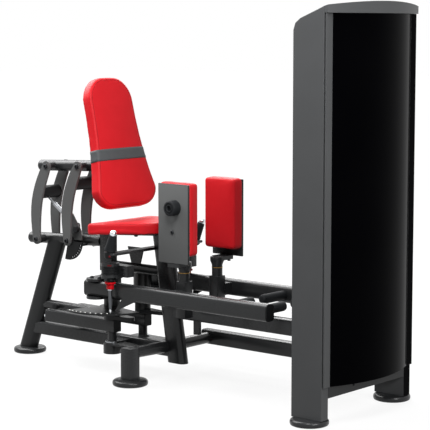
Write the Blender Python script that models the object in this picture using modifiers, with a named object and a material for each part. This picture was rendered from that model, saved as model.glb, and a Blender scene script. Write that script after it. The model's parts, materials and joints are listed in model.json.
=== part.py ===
"""Combined inner and outer thigh machine: frame, seat, back rest on a parallel linkage,
two swinging leg arms with swivelling thigh pads, and a weight tower.

Metres, +Z up, the user faces +X. Lengths along X are measured from the line through the two
tower feet, and every finished piece is moved so that the machine's box is centred on the origin."""

import math

import bmesh
import bpy
from mathutils import Matrix, Vector

# Fits
GAP = 0.0003
SLACK = 0.0006
MERGE = 0.00001
SINK = 0.002

# Feet
FOOT_R = 0.077
FOOT_H = 0.026
FOOT_LIP = 0.006

# Tubes
OVAL_LONG = 0.102
OVAL_WIDE = 0.051
TUBE_R = 0.0255
BAR_WIDE = 0.051
BAR_EDGE = 0.010

# Rear leg and base
REAR_FOOT_X = -1.874
REAR_LEG_FOOT_X = -1.881
REAR_LEG_TOP_X = -1.676
SPINE_Z = 0.097
SPINE_H = 0.061
UPPER_SPINE_R = 0.022
UPPER_SPINE_Z = 0.243
UPPER_SPINE_BEND_X = -1.385
UPPER_SPINE_BEND = 0.045

# Seat post, front outrigger and rails to the tower
POST_LOW_X = -0.931
POST_LOW_Z = 0.073
POST_RAKE = 0.158
CROSS_X = -0.985
CROSS_Z = 0.140
STUB_X = -1.009
STUB_Y = -0.2235
STUB_SIDE = 0.060
STUB_TOP = 0.163
STUB_EDGE = 0.005
FAR_RAIL_BACK_X = -1.020
FAR_RAIL_Z = 0.109
FAR_RAIL_H = 0.066
CENTRE_RAIL_Z = 0.272
CENTRE_RAIL_H = 0.068
STRUT_X = -0.820
STRUT_LONG = 0.030
STRUT_WIDE = 0.018
STRUT_DROP = 0.060

# Hip pivots
HIP_X = -1.234
HIP_Y = 0.100
SHAFT_R = 0.0165
SHAFT_TOP = 0.448
BOSS_R = 0.040
BOSS_Z = 0.093
BOSS_H = 0.042
LUG_LONG = 0.110
LUG_WIDE = 0.070
LUG_T = 0.009
HIP_RAIL_BACK_X = -1.640
HIP_RAIL_Z = 0.190
HIP_RAIL_H = 0.054
HIP_RAIL_WIDE = 0.045
HIP_RAIL_PAST = 0.030
BUSH_R = 0.0205
HIP_TIE_BACK = 0.095
HIP_TIE_LONG = 0.060
HIP_TIE_STEP = 0.012
HIP_RAIL_EDGE = 0.006

# Start-position cams under the arms
CAM_Z = 0.298
CAM_T = 0.008
CAM_R = 0.217
CAM_HUB_R = 0.055
CAM_SLEEVE_R = 0.036
CAM_FROM = math.radians(-12.0)
CAM_TO = math.radians(-112.0)
CAM_HOLES = 8
CAM_STEP = math.radians(7.5)
CAM_HOLE_R = 0.0075
LEVER_LONG = 0.112
LEVER_R = 0.018
LEVER_T = 0.016
LEVER_LIFT = 0.006

# Leg arms
ARM_Y = 0.205
ARM_BACK_X = -1.271
ARM_FRONT_X = -0.262
ARM_WIDE = 0.051
ARM_Z = 0.362
ARM_H = 0.072
ARM_EDGE = 0.017
HUB_R = 0.042
HUB_PLATE_T = 0.009
HUB_PLATE_R = 0.050
HUB_END_R = 0.044
PEG_R = 0.0205
PEG_GAP = 0.058
PEG_LIFT = 0.035
PEG_REAR_X = -0.4895
PEG_FRONT_X = -0.323

# Start-position pins on the arms, ahead of the hip pivots and outside them
PIN_AHEAD = 0.137
PIN_OUT = 0.152
PIN_X = HIP_X + PIN_AHEAD
PIN_Y = HIP_Y + PIN_OUT
PIN_R = 0.0060
PIN_TRAVEL = 0.020
COLLAR_R = 0.0240
COLLAR_LOW_R = 0.0165
COLLAR_Z = 0.413
COLLAR_H = 0.031
COLLAR_BAND = 0.008
COLLAR_TAPER = 0.004
STEM_R = 0.0190
STEM_TOP = 0.474
HOUSING_R = 0.040
HOUSING_Z = 0.466
HOUSING_TOP = 0.527
HOUSING_DISC = 0.012
HOUSING_NECK = 0.004
CLAMP_FRONT_X = -1.019
CLAMP_WIDE = 0.046
CLAMP_EDGE = 0.004
RISER_BACK_X = -1.168
RISER_LONG = 0.040
GUSSET_T = 0.007
GUSSET_RISE = 0.030
GUSSET_FROM = 0.060
GUSSET_TO = 0.165
GUSSET_TIP = 0.030
GUSSET_TIP_Z = 0.326

# Thigh pads on their swivel posts
SWIVEL_X = -0.799
SWIVEL_Y = 0.108
SWIVEL_POST = 0.052
SWIVEL_POST_EDGE = 0.004
SWIVEL_POST_LOW = 0.304
SWIVEL_POST_TOP = 0.460
SWIVEL_R = 0.0235
SWIVEL_JOINT_Z = 0.498
YOKE_TOP = 0.545
YOKE_LONG = 0.062
YOKE_T = 0.018
PLATE_X = -0.796
PLATE_LONG = 0.170
PLATE_T = 0.010
PLATE_EDGE = 0.003
PLATE_OUT_Y = 0.182
PLATE_Z = 0.543
PLATE_TOP = 0.880
PAD_T = 0.060
PAD_Z = 0.575
PAD_TOP = 0.887
PAD_LONG = 0.168
PAD_CORNER = 0.016
PAD_ROUND = 0.010
PAD_CROWN = 0.004
BUMPER_X = -0.784
BUMPER_Z = 0.781
BUMPER_R = 0.0325
BUMPER_LONG = 0.042
BUMPER_CUP_R = 0.015
BUMPER_TAPER = 0.0024

# Seat and hand grips
SEAT_BACK_X = -1.286
SEAT_FRONT_X = -0.940
SEAT_BACK_HALF = 0.205
SEAT_FRONT_HALF = 0.162
SEAT_BACK_CORNER = 0.024
SEAT_FRONT_CORNER = 0.100
SEAT_Z = 0.627
SEAT_SLOPE = 0.068
SEAT_T = 0.050
SEAT_ROUND = 0.010
SEAT_CROWN = 0.004
SEAT_PLATE_T = 0.008
SEAT_PLATE_BACK_X = -1.394
SEAT_PLATE_FRONT_X = -0.965
SEAT_PLATE_HALF = 0.110
UPRIGHT_BACK_X = -1.389
UPRIGHT_LONG = 0.076
UPRIGHT_WIDE = 0.040
UPRIGHT_Z = 0.440
UPRIGHT_EDGE = 0.005
SEAT_BEAM_R = 0.0225
SEAT_BEAM_Z = 0.468
BRACE_X = -1.180
BRACE_LOW = 0.040
BRACE_HIGH = 0.096
BRACE_TOP = 0.562
BRACE_T = 0.008
GRIP_BAR_X = -1.062
GRIP_BAR_LONG = 0.046
GRIP_BAR_Z = 0.564
GRIP_BAR_T = 0.012
GRIP_BAR_EDGE = 0.003
GRIP_BAR_HALF = 0.292
GRIP_FOOT = (-1.0727, 0.2756, 0.587)
GRIP_TIP = (-1.035, 0.291, 0.675)
GRIP_CORE_R = 0.013
GRIP_CORE_LONG = 0.016
GRIP_R = 0.0230
GRIP_TIP_R = 0.0150

# Back rest linkage
LINK_LOW_X = -1.751
LINK_LOW_Z = 0.556
LINK_RUN = 0.070
LINK_RISE = 0.343
LINK_SPACING = 0.202
LINK_SLOPE = 0.0446
LINK_BOW = 0.031
LINK_MID = 0.064
LINK_FULL = 0.4
LINK_END_R = 0.024
LINK_T = 0.010
LINK_BOSS_R = 0.021
LINK_INNER_Y = 0.057
REAR_CROSS_AT = 0.62
FRONT_CROSS_AT = 0.75
LINK_CROSS_R = 0.030
LOWER_TUBE_BACK_X = -1.847
UPPER_TUBE_BACK_X = -1.775
UPPER_TUBE_FRONT_X = -1.230
SECTOR_R = 0.088
SECTOR_T = 0.008
SECTOR_CLEAR = 0.002
SECTOR_FROM = math.radians(-2.0)
SECTOR_TO = math.radians(-104.0)
INDEX_R = 0.078
INDEX_AT = math.radians(-12.0)
INDEX_STEP = math.radians(10.0)
INDEX_HOLES = 7
INDEX_PIN_R = 0.0045
INDEX_KNOB_R = 0.013
INDEX_KNOB_LONG = 0.020

# Gas spring
GAS_X = -1.543
GAS_Z = 0.6305
GAS_Y = -0.018
GAS_DROP = 0.010
GAS_EYE_R = 0.012
GAS_EYE_WIDE = 0.026
GAS_R = 0.0095
GAS_LONG = 0.165
GAS_BORE_FROM = 0.034
GAS_ROD_R = 0.0055
GAS_ROD_FROM = 0.050
GAS_ROD_PAST = 0.003
LUG_PLATE = 0.007
LUG_ROOT_R = 0.013

# Back pad
BACK_LOW = (-1.197, 0.740)
BACK_TOP = (-1.336, 1.304)
BACK_T = 0.056
BACK_TOP_HALF = 0.131
BACK_LOW_HALF = 0.178
BACK_TOP_CORNER = 0.095
BACK_LOW_CORNER = 0.085
BACK_TAPER = 2.3
BACK_SAG = 0.010
BACK_CROWN = 0.006
BACK_ROUND = 0.012
BRACKET_WIDE = 0.100
BRACKET_LOW = 0.060
BRACKET_HIGH = 0.330
BRACKET_T = 0.008

# Weight tower
TOWER_Y = 0.2835
TOWER_WIDE = 0.044
TOWER_HALF_X = 0.0725
TOWER_FRONT_Z = 1.610
TOWER_BACK_DROP = 0.090
SHOULDER_X = -0.040
SHOULDER_DROP = 0.045
BEND_X = -0.06275
BEND_DROP = 0.0621
TRIM_X = 0.077
TRIM_FRONT_X = 0.083
TRIM_INSET = 0.0025
TRIM_WIDE = 0.039
TRIM_WEB = 0.024
PANEL_EDGE_X = 0.083
PANEL_APEX_X = 0.143
PANEL_T = 0.006
PANEL_Z = 0.157
FASCIA_H = 0.026
CAP_APEX_X = 0.150
CAP_EDGE_X = 0.090
CAP_RISE = 0.28
LID_T = 0.012
BASE_Z = 0.110
BASE_BACK_X = -0.060
REAR_BEAM_X = -0.070
REAR_BEAM_T = 0.022
REAR_BEAM_Z = 0.262
REAR_BEAM_H = 0.080
TOP_BEAM_DROP = 0.120
TOP_BEAM_H = 0.030
TOP_BEAM_HALF_X = 0.040
ROD_Y = 0.075
ROD_R = 0.0125
STACK_HALF_X = 0.045
STACK_HALF_Y = 0.140
STACK_PLATES = 11
STACK_PLATE_H = 0.037
STACK_GROOVE = 0.004
STACK_GROOVE_H = 0.003
HEAD_H = 0.040
HEAD_EDGE = 0.003
STEM_ROD_R = 0.0130
STEM_ROD_LONG = 0.300
SELECT_PLATE = 7
SELECT_R = 0.0050
SELECT_TIP_X = -0.017
SELECT_KNOB_X = -0.098
SELECT_KNOB_LONG = 0.020
SELECT_KNOB_R = 0.014
SHIELD_T = 0.004
SHIELD_BACK_X = -0.066
SHIELD_Z = 0.3425
SLOT_HALF = 0.035
SLOT_Z = 0.370
SLOT_TOP = 0.600

# The finished box is centred between the rear foot and the front of the tower
TOWER_X = (FOOT_R - REAR_FOOT_X - CAP_APEX_X) / 2.0

# Cushion walls: tucked foot, and the rings of the crowned face as shares of its rim
TUCK = 0.004
CROWN_RINGS = (0.82, 0.58, 0.30)

# Sides of round pieces
SIDES = 24
FINE = 32
MEDIUM = 20
COARSE = 16

FLAT = Matrix.Identity(4)
UPRIGHT_XZ = Matrix.Rotation(math.pi / 2.0, 4, "X")
UPRIGHT_YZ = Matrix(((0, 0, 1, 0), (1, 0, 0, 0), (0, 1, 0, 0), (0, 0, 0, 1)))

for old in list(bpy.data.objects):
    bpy.data.objects.remove(old, do_unlink=True)

PARTS = bpy.data.collections.new("thigh_machine")
CUTTERS = bpy.data.collections.new("cutters")
bpy.context.scene.collection.children.link(PARTS)
bpy.context.scene.collection.children.link(CUTTERS)


def material(name, colour, roughness, metallic):
    """One Principled material with a plain colour."""
    made = bpy.data.materials.new(name)
    made.use_nodes = True
    shader = made.node_tree.nodes["Principled BSDF"]
    shader.inputs["Base Color"].default_value = (*colour, 1.0)
    shader.inputs["Roughness"].default_value = roughness
    shader.inputs["Metallic"].default_value = metallic
    made.diffuse_color = (*colour, 1.0)
    return made


CHARCOAL = material("charcoal_powder_coat", (0.045, 0.047, 0.050), 0.42, 0.3)
GREY = material("grey_powder_coat", (0.13, 0.13, 0.13), 0.5, 0.3)
RED = material("red_vinyl", (0.56, 0.017, 0.025), 0.45, 0.0)
RED_PLASTIC = material("red_plastic", (0.62, 0.01, 0.015), 0.35, 0.0)
RUBBER = material("black_rubber", (0.018, 0.020, 0.022), 0.8, 0.0)
BLACK_GLOSS = material("black_gloss_plastic", (0.004, 0.004, 0.005), 0.1, 0.0)
CHROME = material("chrome_plate", (0.75, 0.75, 0.76), 0.12, 1.0)
STEEL = material("dark_steel", (0.10, 0.10, 0.105), 0.45, 0.8)


def loose(mesh):
    """A working object, kept out of the render until it becomes a part."""
    made = bpy.data.objects.new(mesh.name, mesh)
    made.hide_render = True
    made.display_type = "WIRE"
    CUTTERS.objects.link(made)
    return made


def drop(thing):
    bpy.data.objects.remove(thing, do_unlink=True)


def from_bmesh(shape):
    bmesh.ops.recalc_face_normals(shape, faces=shape.faces)
    mesh = bpy.data.meshes.new("work")
    shape.to_mesh(mesh)
    shape.free()
    return loose(mesh)


def solid(thing, frame=FLAT):
    """Turns a curve or an object with modifiers into a welded, closed mesh in place."""
    bpy.context.view_layer.update()
    graph = bpy.context.evaluated_depsgraph_get()
    mesh = bpy.data.meshes.new_from_object(thing.evaluated_get(graph))
    drop(thing)
    shape = bmesh.new()
    shape.from_mesh(mesh)
    bmesh.ops.remove_doubles(shape, verts=shape.verts, dist=MERGE)
    bmesh.ops.transform(shape, matrix=frame, verts=shape.verts)
    return from_bmesh(shape)


def block(x, y, z, edge=0.0, steps=2, along=None):
    """A box between ranges; its edges, or those along one axis, are rounded."""
    shape = bmesh.new()
    bmesh.ops.create_cube(shape, size=1.0)
    low = Vector((x[0], y[0], z[0]))
    high = Vector((x[1], y[1], z[1]))
    bmesh.ops.scale(shape, vec=high - low, verts=shape.verts)
    bmesh.ops.translate(shape, vec=(low + high) / 2.0, verts=shape.verts)
    if edge > 0.0:
        chosen = []
        for line in shape.edges:
            run = line.verts[1].co - line.verts[0].co
            if along is None or abs(run[along]) > 0.9 * run.length:
                chosen.append(line)
        bmesh.ops.bevel(shape, geom=chosen, offset=edge, segments=steps, profile=0.5,
                        affect="EDGES", clamp_overlap=True)
    return from_bmesh(shape)


def rod(start, end, radius, end_radius=None, sides=SIDES):
    """A round bar or a cone between two points."""
    start = Vector(start)
    end = Vector(end)
    axis = end - start
    turn = axis.to_track_quat("Z", "Y").to_matrix().to_4x4()
    shape = bmesh.new()
    bmesh.ops.create_cone(shape, cap_ends=True, segments=sides, radius1=radius,
                          radius2=radius if end_radius is None else end_radius,
                          depth=axis.length,
                          matrix=Matrix.Translation((start + end) / 2.0) @ turn)
    return from_bmesh(shape)


def turned(profile, at, sides=FINE):
    """A shape turned about Z from a profile that runs top to bottom."""
    mesh = bpy.data.meshes.new("profile")
    lines = [(i, i + 1) for i in range(len(profile) - 1)]
    mesh.from_pydata([(r, 0.0, z) for r, z in profile], lines, [])
    made = loose(mesh)
    screw = made.modifiers.new("turn", "SCREW")
    screw.angle = 2.0 * math.pi
    screw.steps = sides
    screw.render_steps = sides
    screw.use_merge_vertices = True
    screw.merge_threshold = MERGE
    return solid(made, Matrix.Translation(at))


def plate(outlines, low, high, frame=FLAT):
    """A flat outline, with holes if more outlines follow, filled between two levels."""
    curve = bpy.data.curves.new("outline", "CURVE")
    curve.dimensions = "2D"
    curve.fill_mode = "BOTH"
    curve.extrude = (high - low) / 2.0
    for points in outlines:
        spline = curve.splines.new("POLY")
        spline.points.add(len(points) - 1)
        for spot, (u, v) in zip(spline.points, points):
            spot.co = (u, v, 0.0, 1.0)
        spline.use_cyclic_u = True
    made = bpy.data.objects.new("outline", curve)
    CUTTERS.objects.link(made)
    return solid(made, frame @ Matrix.Translation((0.0, 0.0, (low + high) / 2.0)))


def bent_tube(points, radius, steps=3):
    """A tube along a line of points, with closed ends."""
    curve = bpy.data.curves.new("route", "CURVE")
    curve.dimensions = "3D"
    curve.bevel_depth = radius
    curve.bevel_resolution = steps
    curve.use_fill_caps = True
    spline = curve.splines.new("POLY")
    spline.points.add(len(points) - 1)
    for spot, point in zip(spline.points, points):
        spot.co = (*point, 1.0)
    made = bpy.data.objects.new("route", curve)
    CUTTERS.objects.link(made)
    return solid(made)


def combine(base, tools, operation):
    """Joins tools to a solid or cuts them from it, and removes them."""
    for tool in tools:
        step = base.modifiers.new("combine", "BOOLEAN")
        step.operation = operation
        step.solver = "EXACT"
        step.object = tool
    made = solid(base)
    for tool in tools:
        drop(tool)
    return made


def joined(base, *tools):
    return combine(base, tools, "UNION")


def cut(base, *tools):
    return combine(base, tools, "DIFFERENCE")


def trimmed(thing, point, normal):
    """Takes away what lies on the side of a plane that its normal points to."""
    shape = bmesh.new()
    shape.from_mesh(thing.data)
    drop(thing)
    everything = shape.verts[:] + shape.edges[:] + shape.faces[:]
    bmesh.ops.bisect_plane(shape, geom=everything, dist=MERGE, plane_co=point, plane_no=normal,
                           clear_outer=True)
    rim = [line for line in shape.edges if line.is_boundary]
    bmesh.ops.edgeloop_fill(shape, edges=rim)
    return from_bmesh(shape)


def sheared(thing, from_z, run):
    """Leans an upright solid along X as it rises."""
    for point in thing.data.vertices:
        point.co.x += run * (point.co.z - from_z)
    return thing


def mirrored(thing):
    """The same solid on the other side of the machine's middle plane."""
    shape = bmesh.new()
    shape.from_mesh(thing.data)
    bmesh.ops.scale(shape, vec=(1.0, -1.0, 1.0), verts=shape.verts)
    bmesh.ops.reverse_faces(shape, faces=shape.faces)
    return from_bmesh(shape)


def part(name, thing, look, origin=(0.0, 0.0, 0.0), sharp=35.0):
    """Names a finished solid, sets its origin and moves it into the centred frame."""
    CUTTERS.objects.unlink(thing)
    PARTS.objects.link(thing)
    thing.name = name
    thing.data.name = name
    thing.hide_render = False
    thing.display_type = "TEXTURED"
    home = Vector(origin)
    thing.data.transform(Matrix.Translation(-home))
    thing.location = home + Vector((TOWER_X, 0.0, 0.0))
    thing.data.materials.clear()
    thing.data.materials.append(look)
    thing.data.shade_smooth()
    thing.data.set_sharp_from_angle(angle=math.radians(sharp))
    return thing


def arc(centre, radius, start, stop, count):
    """Points along an arc, both ends included."""
    points = []
    for i in range(count + 1):
        angle = start + (stop - start) * i / count
        points.append((centre[0] + radius * math.cos(angle), centre[1] + radius * math.sin(angle)))
    return points


def ring(centre, radius, count=COARSE):
    return arc(centre, radius, 0.0, 2.0 * math.pi, count)[:-1]


def oval(centre_x, long, wide, count=8):
    """A flat-oval tube's outline in plan, long along X."""
    reach = (long - wide) / 2.0
    right = arc((centre_x + reach, 0.0), wide / 2.0, -math.pi / 2.0, math.pi / 2.0, count)
    left = arc((centre_x - reach, 0.0), wide / 2.0, math.pi / 2.0, 1.5 * math.pi, count)
    return right + left


def capsule(a, b, radius_a, radius_b, count=10):
    """The outline round two circles, joined by straight sides."""
    ahead = math.atan2(b[1] - a[1], b[0] - a[0])
    half = math.pi / 2.0
    first = arc(a, radius_a, ahead + half, ahead + 3.0 * half, count)
    return first + arc(b, radius_b, ahead - half, ahead + half, count)


def foot(x, y):
    """A turned levelling foot standing on the floor."""
    profile = [(0.0, FOOT_H), (FOOT_R - FOOT_LIP, FOOT_H), (FOOT_R, FOOT_H - FOOT_LIP / 2.0),
               (FOOT_R, FOOT_LIP / 2.0), (FOOT_R - FOOT_LIP, 0.0), (0.0, 0.0)]
    return turned(profile, (x, y, 0.0))


def cushion(outline, layers, crown, frame):
    """A soft pad: rings of one outline drawn in at each level, closed by a crowned face."""
    count = len(outline)
    middle = (sum(p[0] for p in outline) / count, sum(p[1] for p in outline) / count)
    rings = []
    for inset, level in layers:
        spots = []
        for i in range(count):
            before = outline[i - 1]
            after = outline[(i + 1) % count]
            run = Vector((after[0] - before[0], after[1] - before[1]))
            run.normalize()
            spots.append((outline[i][0] - run.y * inset, outline[i][1] + run.x * inset, level))
        rings.append(spots)
    rim = rings[-1]
    top = layers[-1][1]
    for share in CROWN_RINGS:
        rise = crown * (1.0 - share * share)
        rings.append([(middle[0] + (u - middle[0]) * share, middle[1] + (v - middle[1]) * share,
                       top + rise) for u, v, _ in rim])
    shape = bmesh.new()
    loops = [[shape.verts.new(spot) for spot in spots] for spots in rings]
    shape.faces.new(list(reversed(loops[0])))
    for lower, upper in zip(loops, loops[1:]):
        for i in range(count):
            j = (i + 1) % count
            shape.faces.new((lower[i], lower[j], upper[j], upper[i]))
    peak = shape.verts.new((middle[0], middle[1], top + crown))
    for i in range(count):
        shape.faces.new((loops[-1][i], loops[-1][(i + 1) % count], peak))
    bmesh.ops.transform(shape, matrix=frame, verts=shape.verts)
    return from_bmesh(shape)


def bow(y, half, edge, apex):
    """How far forward a bowed front stands at a distance from its middle."""
    return apex - (apex - edge) * (y / half) ** 2


def leg_x(z):
    """The rear leg's middle at a height."""
    return REAR_LEG_FOOT_X + (REAR_LEG_TOP_X - REAR_LEG_FOOT_X) * (z - FOOT_H) / (LINK_LOW_Z - FOOT_H)


def post_x(z):
    """The seat post's middle at a height."""
    return POST_LOW_X - POST_RAKE * (z - POST_LOW_Z)


def rear_leg(grow=0.0):
    made = plate([oval(REAR_LEG_FOOT_X, OVAL_LONG + 2.0 * grow, OVAL_WIDE + 2.0 * grow)],
                 FOOT_H + GAP, LINK_LOW_Z)
    return sheared(made, FOOT_H, (REAR_LEG_TOP_X - REAR_LEG_FOOT_X) / (LINK_LOW_Z - FOOT_H))


def seat_floor(x):
    """The underside of the seat cushion."""
    return SEAT_Z + SEAT_SLOPE * (x - SEAT_BACK_X)


def seat_post(grow=0.0):
    top = seat_floor(SEAT_FRONT_X)
    made = plate([oval(POST_LOW_X, OVAL_LONG + 2.0 * grow, OVAL_WIDE + 2.0 * grow)], POST_LOW_Z, top)
    return sheared(made, POST_LOW_Z, -POST_RAKE)


def tube_z(x):
    """The lower link tube's axis."""
    return LINK_LOW_Z + LINK_SLOPE * (x - LINK_LOW_X)


def lower_tube(radius, back, front):
    return rod((back, 0.0, tube_z(back)), (front, 0.0, tube_z(front)), radius)


def lower_spine(grow=0.0):
    half = HALF_BAR + grow
    return block((leg_x(SPINE_Z + SPINE_H), post_x(SPINE_Z)), (-half, half),
                 (SPINE_Z - grow, SPINE_Z + SPINE_H + grow), BAR_EDGE, 2, 0)


TILT = Vector((-SEAT_SLOPE, 0.0, 1.0)).normalized()
SEAT_UNDER = Vector((SEAT_BACK_X, 0.0, SEAT_Z - SEAT_PLATE_T - 2.0 * GAP))
HALF_BAR = BAR_WIDE / 2.0

# Rear leg, its foot and the two spines
part("rear_foot", foot(REAR_FOOT_X, 0.0), CHARCOAL)
LEG = cut(rear_leg(), lower_tube(TUBE_R + GAP, LOWER_TUBE_BACK_X, UPRIGHT_BACK_X))
part("rear_leg", LEG, CHARCOAL)

part("lower_spine", cut(lower_spine(), rear_leg(GAP), seat_post(GAP)), CHARCOAL)

SPINE_TOP = SPINE_Z + SPINE_H
ROUTE = [(leg_x(UPPER_SPINE_Z + UPPER_SPINE_R), 0.0, UPPER_SPINE_Z)]
for u, v in arc((UPPER_SPINE_BEND_X, UPPER_SPINE_Z - UPPER_SPINE_BEND), UPPER_SPINE_BEND,
                math.pi / 2.0, 0.0, 6):
    ROUTE.append((u, 0.0, v))
ROUTE.append((UPPER_SPINE_BEND_X + UPPER_SPINE_BEND, 0.0, SPINE_TOP + GAP))
part("upper_spine", cut(bent_tube(ROUTE, UPPER_SPINE_R), rear_leg(GAP)), CHARCOAL)

# Seat post, front outrigger with its foot, and the rails to the tower
POST = trimmed(seat_post(), SEAT_UNDER, TILT)
part("seat_post", POST, CHARCOAL)
part("front_foot", foot(STUB_X, STUB_Y), CHARCOAL)
HALF_STUB = STUB_SIDE / 2.0
STUB = block((STUB_X - HALF_STUB, STUB_X + HALF_STUB), (STUB_Y - HALF_STUB, STUB_Y + HALF_STUB),
             (FOOT_H + GAP, STUB_TOP), STUB_EDGE, 2, 2)
ARMLET = rod((STUB_X, STUB_Y, CROSS_Z), (CROSS_X, -HALF_BAR / 2.0, CROSS_Z), TUBE_R)
part("front_outrigger", cut(joined(STUB, ARMLET), seat_post(GAP), lower_spine(GAP)), CHARCOAL)
RAIL_IN_Y = TOWER_Y - HALF_BAR
FAR_ARMLET = rod((CROSS_X, HALF_BAR / 2.0, CROSS_Z), (CROSS_X, RAIL_IN_Y - GAP, CROSS_Z), TUBE_R)
part("far_cross_tube", cut(FAR_ARMLET, seat_post(GAP), lower_spine(GAP)), CHARCOAL)
part("far_rail", block((FAR_RAIL_BACK_X, -TOWER_HALF_X - GAP), (RAIL_IN_Y, RAIL_IN_Y + BAR_WIDE),
                       (FAR_RAIL_Z, FAR_RAIL_Z + FAR_RAIL_H), BAR_EDGE, 2, 0), CHARCOAL)
RAIL = block((post_x(CENTRE_RAIL_Z), REAR_BEAM_X - GAP), (-HALF_BAR, HALF_BAR),
             (CENTRE_RAIL_Z, CENTRE_RAIL_Z + CENTRE_RAIL_H), BAR_EDGE, 2, 0)
STRUT = block((STRUT_X - STRUT_LONG / 2.0, STRUT_X + STRUT_LONG / 2.0),
              (-STRUT_WIDE / 2.0, STRUT_WIDE / 2.0),
              (CENTRE_RAIL_Z - STRUT_DROP, CENTRE_RAIL_Z + SINK))
part("centre_rail", cut(joined(RAIL, STRUT), seat_post(GAP)), CHARCOAL)


# Hip pivots: a lower boss with its upright shaft, and a rail that carries the upper bearing
def pivot_base():
    made = rod((HIP_X, -HIP_Y, BOSS_Z), (HIP_X, -HIP_Y, BOSS_Z + BOSS_H), BOSS_R)
    top = BOSS_Z + BOSS_H - SINK
    lug = plate([capsule((HIP_X, -HIP_Y), (HIP_X + LUG_LONG, -HIP_Y), LUG_WIDE / 2.0, LUG_WIDE / 2.0)],
                top, top + LUG_T)
    tie = block((HIP_X - LUG_WIDE / 2.0, HIP_X + LUG_WIDE / 2.0), (-HIP_Y, -HALF_BAR - GAP),
                (SPINE_Z + BAR_EDGE, SPINE_TOP - BAR_EDGE))
    shaft = rod((HIP_X, -HIP_Y, BOSS_Z + BOSS_H / 2.0), (HIP_X, -HIP_Y, SHAFT_TOP), SHAFT_R)
    bush = rod((HIP_X, -HIP_Y, BOSS_Z + BOSS_H / 2.0), (HIP_X, -HIP_Y, HIP_RAIL_Z - GAP), BUSH_R)
    return joined(made, lug, tie, shaft, bush)


def hip_rail():
    half = HIP_RAIL_WIDE / 2.0
    top = HIP_RAIL_Z + HIP_RAIL_H
    front = HIP_X + HIP_RAIL_PAST
    made = block((HIP_RAIL_BACK_X, front), (-HIP_Y - half, -HIP_Y + half), (HIP_RAIL_Z, top),
                 HIP_RAIL_EDGE, 2, 0)
    tie_x = HIP_RAIL_BACK_X + HIP_TIE_BACK
    tie = block((tie_x - HIP_TIE_LONG / 2.0, tie_x + HIP_TIE_LONG / 2.0),
                (-HIP_Y, -UPPER_SPINE_R / 2.0), (HIP_RAIL_Z + HIP_TIE_STEP, top - HIP_RAIL_EDGE))
    bore = rod((HIP_X, -HIP_Y, HIP_RAIL_Z - SINK), (HIP_X, -HIP_Y, top + SINK), SHAFT_R + GAP)
    spine = rod((HIP_RAIL_BACK_X, 0.0, UPPER_SPINE_Z), (front, 0.0, UPPER_SPINE_Z), UPPER_SPINE_R + SLACK)
    return cut(joined(made, tie), bore, spine)


NEAR_BASE = pivot_base()
part("far_pivot_base", mirrored(NEAR_BASE), CHARCOAL)
part("near_pivot_base", NEAR_BASE, CHARCOAL)
NEAR_HIP_RAIL = hip_rail()
part("far_hip_rail", mirrored(NEAR_HIP_RAIL), CHARCOAL)
part("near_hip_rail", NEAR_HIP_RAIL, CHARCOAL)

NEAR_HIP = (HIP_X, -HIP_Y, CAM_Z)
FAR_HIP = (HIP_X, HIP_Y, CAM_Z)
PIN_RADIUS = math.hypot(PIN_X - HIP_X, PIN_Y - HIP_Y)
PIN_ANGLE = math.atan2(HIP_Y - PIN_Y, PIN_X - HIP_X)


# Start-position cam: a fan with an arc of holes, and a sleeve that carries the arm
def start_cam():
    centre = (HIP_X, -HIP_Y)
    edge = arc(centre, CAM_R, CAM_FROM, CAM_TO, 20)
    hub = arc(centre, CAM_HUB_R, CAM_TO, CAM_FROM - 2.0 * math.pi, 16)
    holes = []
    for i in range(CAM_HOLES):
        angle = PIN_ANGLE - CAM_STEP * i
        holes.append(ring((centre[0] + PIN_RADIUS * math.cos(angle),
                           centre[1] + PIN_RADIUS * math.sin(angle)), CAM_HOLE_R, 10))
    fan = plate([edge + hub] + holes, CAM_Z, CAM_Z + CAM_T)
    foot_z = HIP_RAIL_Z + HIP_RAIL_H + GAP
    sleeve = rod((*centre, foot_z), (*centre, ARM_Z - HUB_PLATE_T - GAP), CAM_SLEEVE_R)
    tip = (centre[0] + LEVER_LONG, centre[1])
    lever_z = foot_z + LEVER_LIFT
    lever = plate([capsule(centre, tip, CAM_SLEEVE_R, LEVER_R)], lever_z, lever_z + LEVER_T)
    bore = rod((*centre, foot_z - SINK), (*centre, ARM_Z), SHAFT_R + GAP)
    return cut(joined(fan, sleeve, lever), bore)


NEAR_CAM = start_cam()
part("far_cam", mirrored(NEAR_CAM), STEEL, FAR_HIP)
part("near_cam", NEAR_CAM, STEEL, NEAR_HIP)


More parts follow.
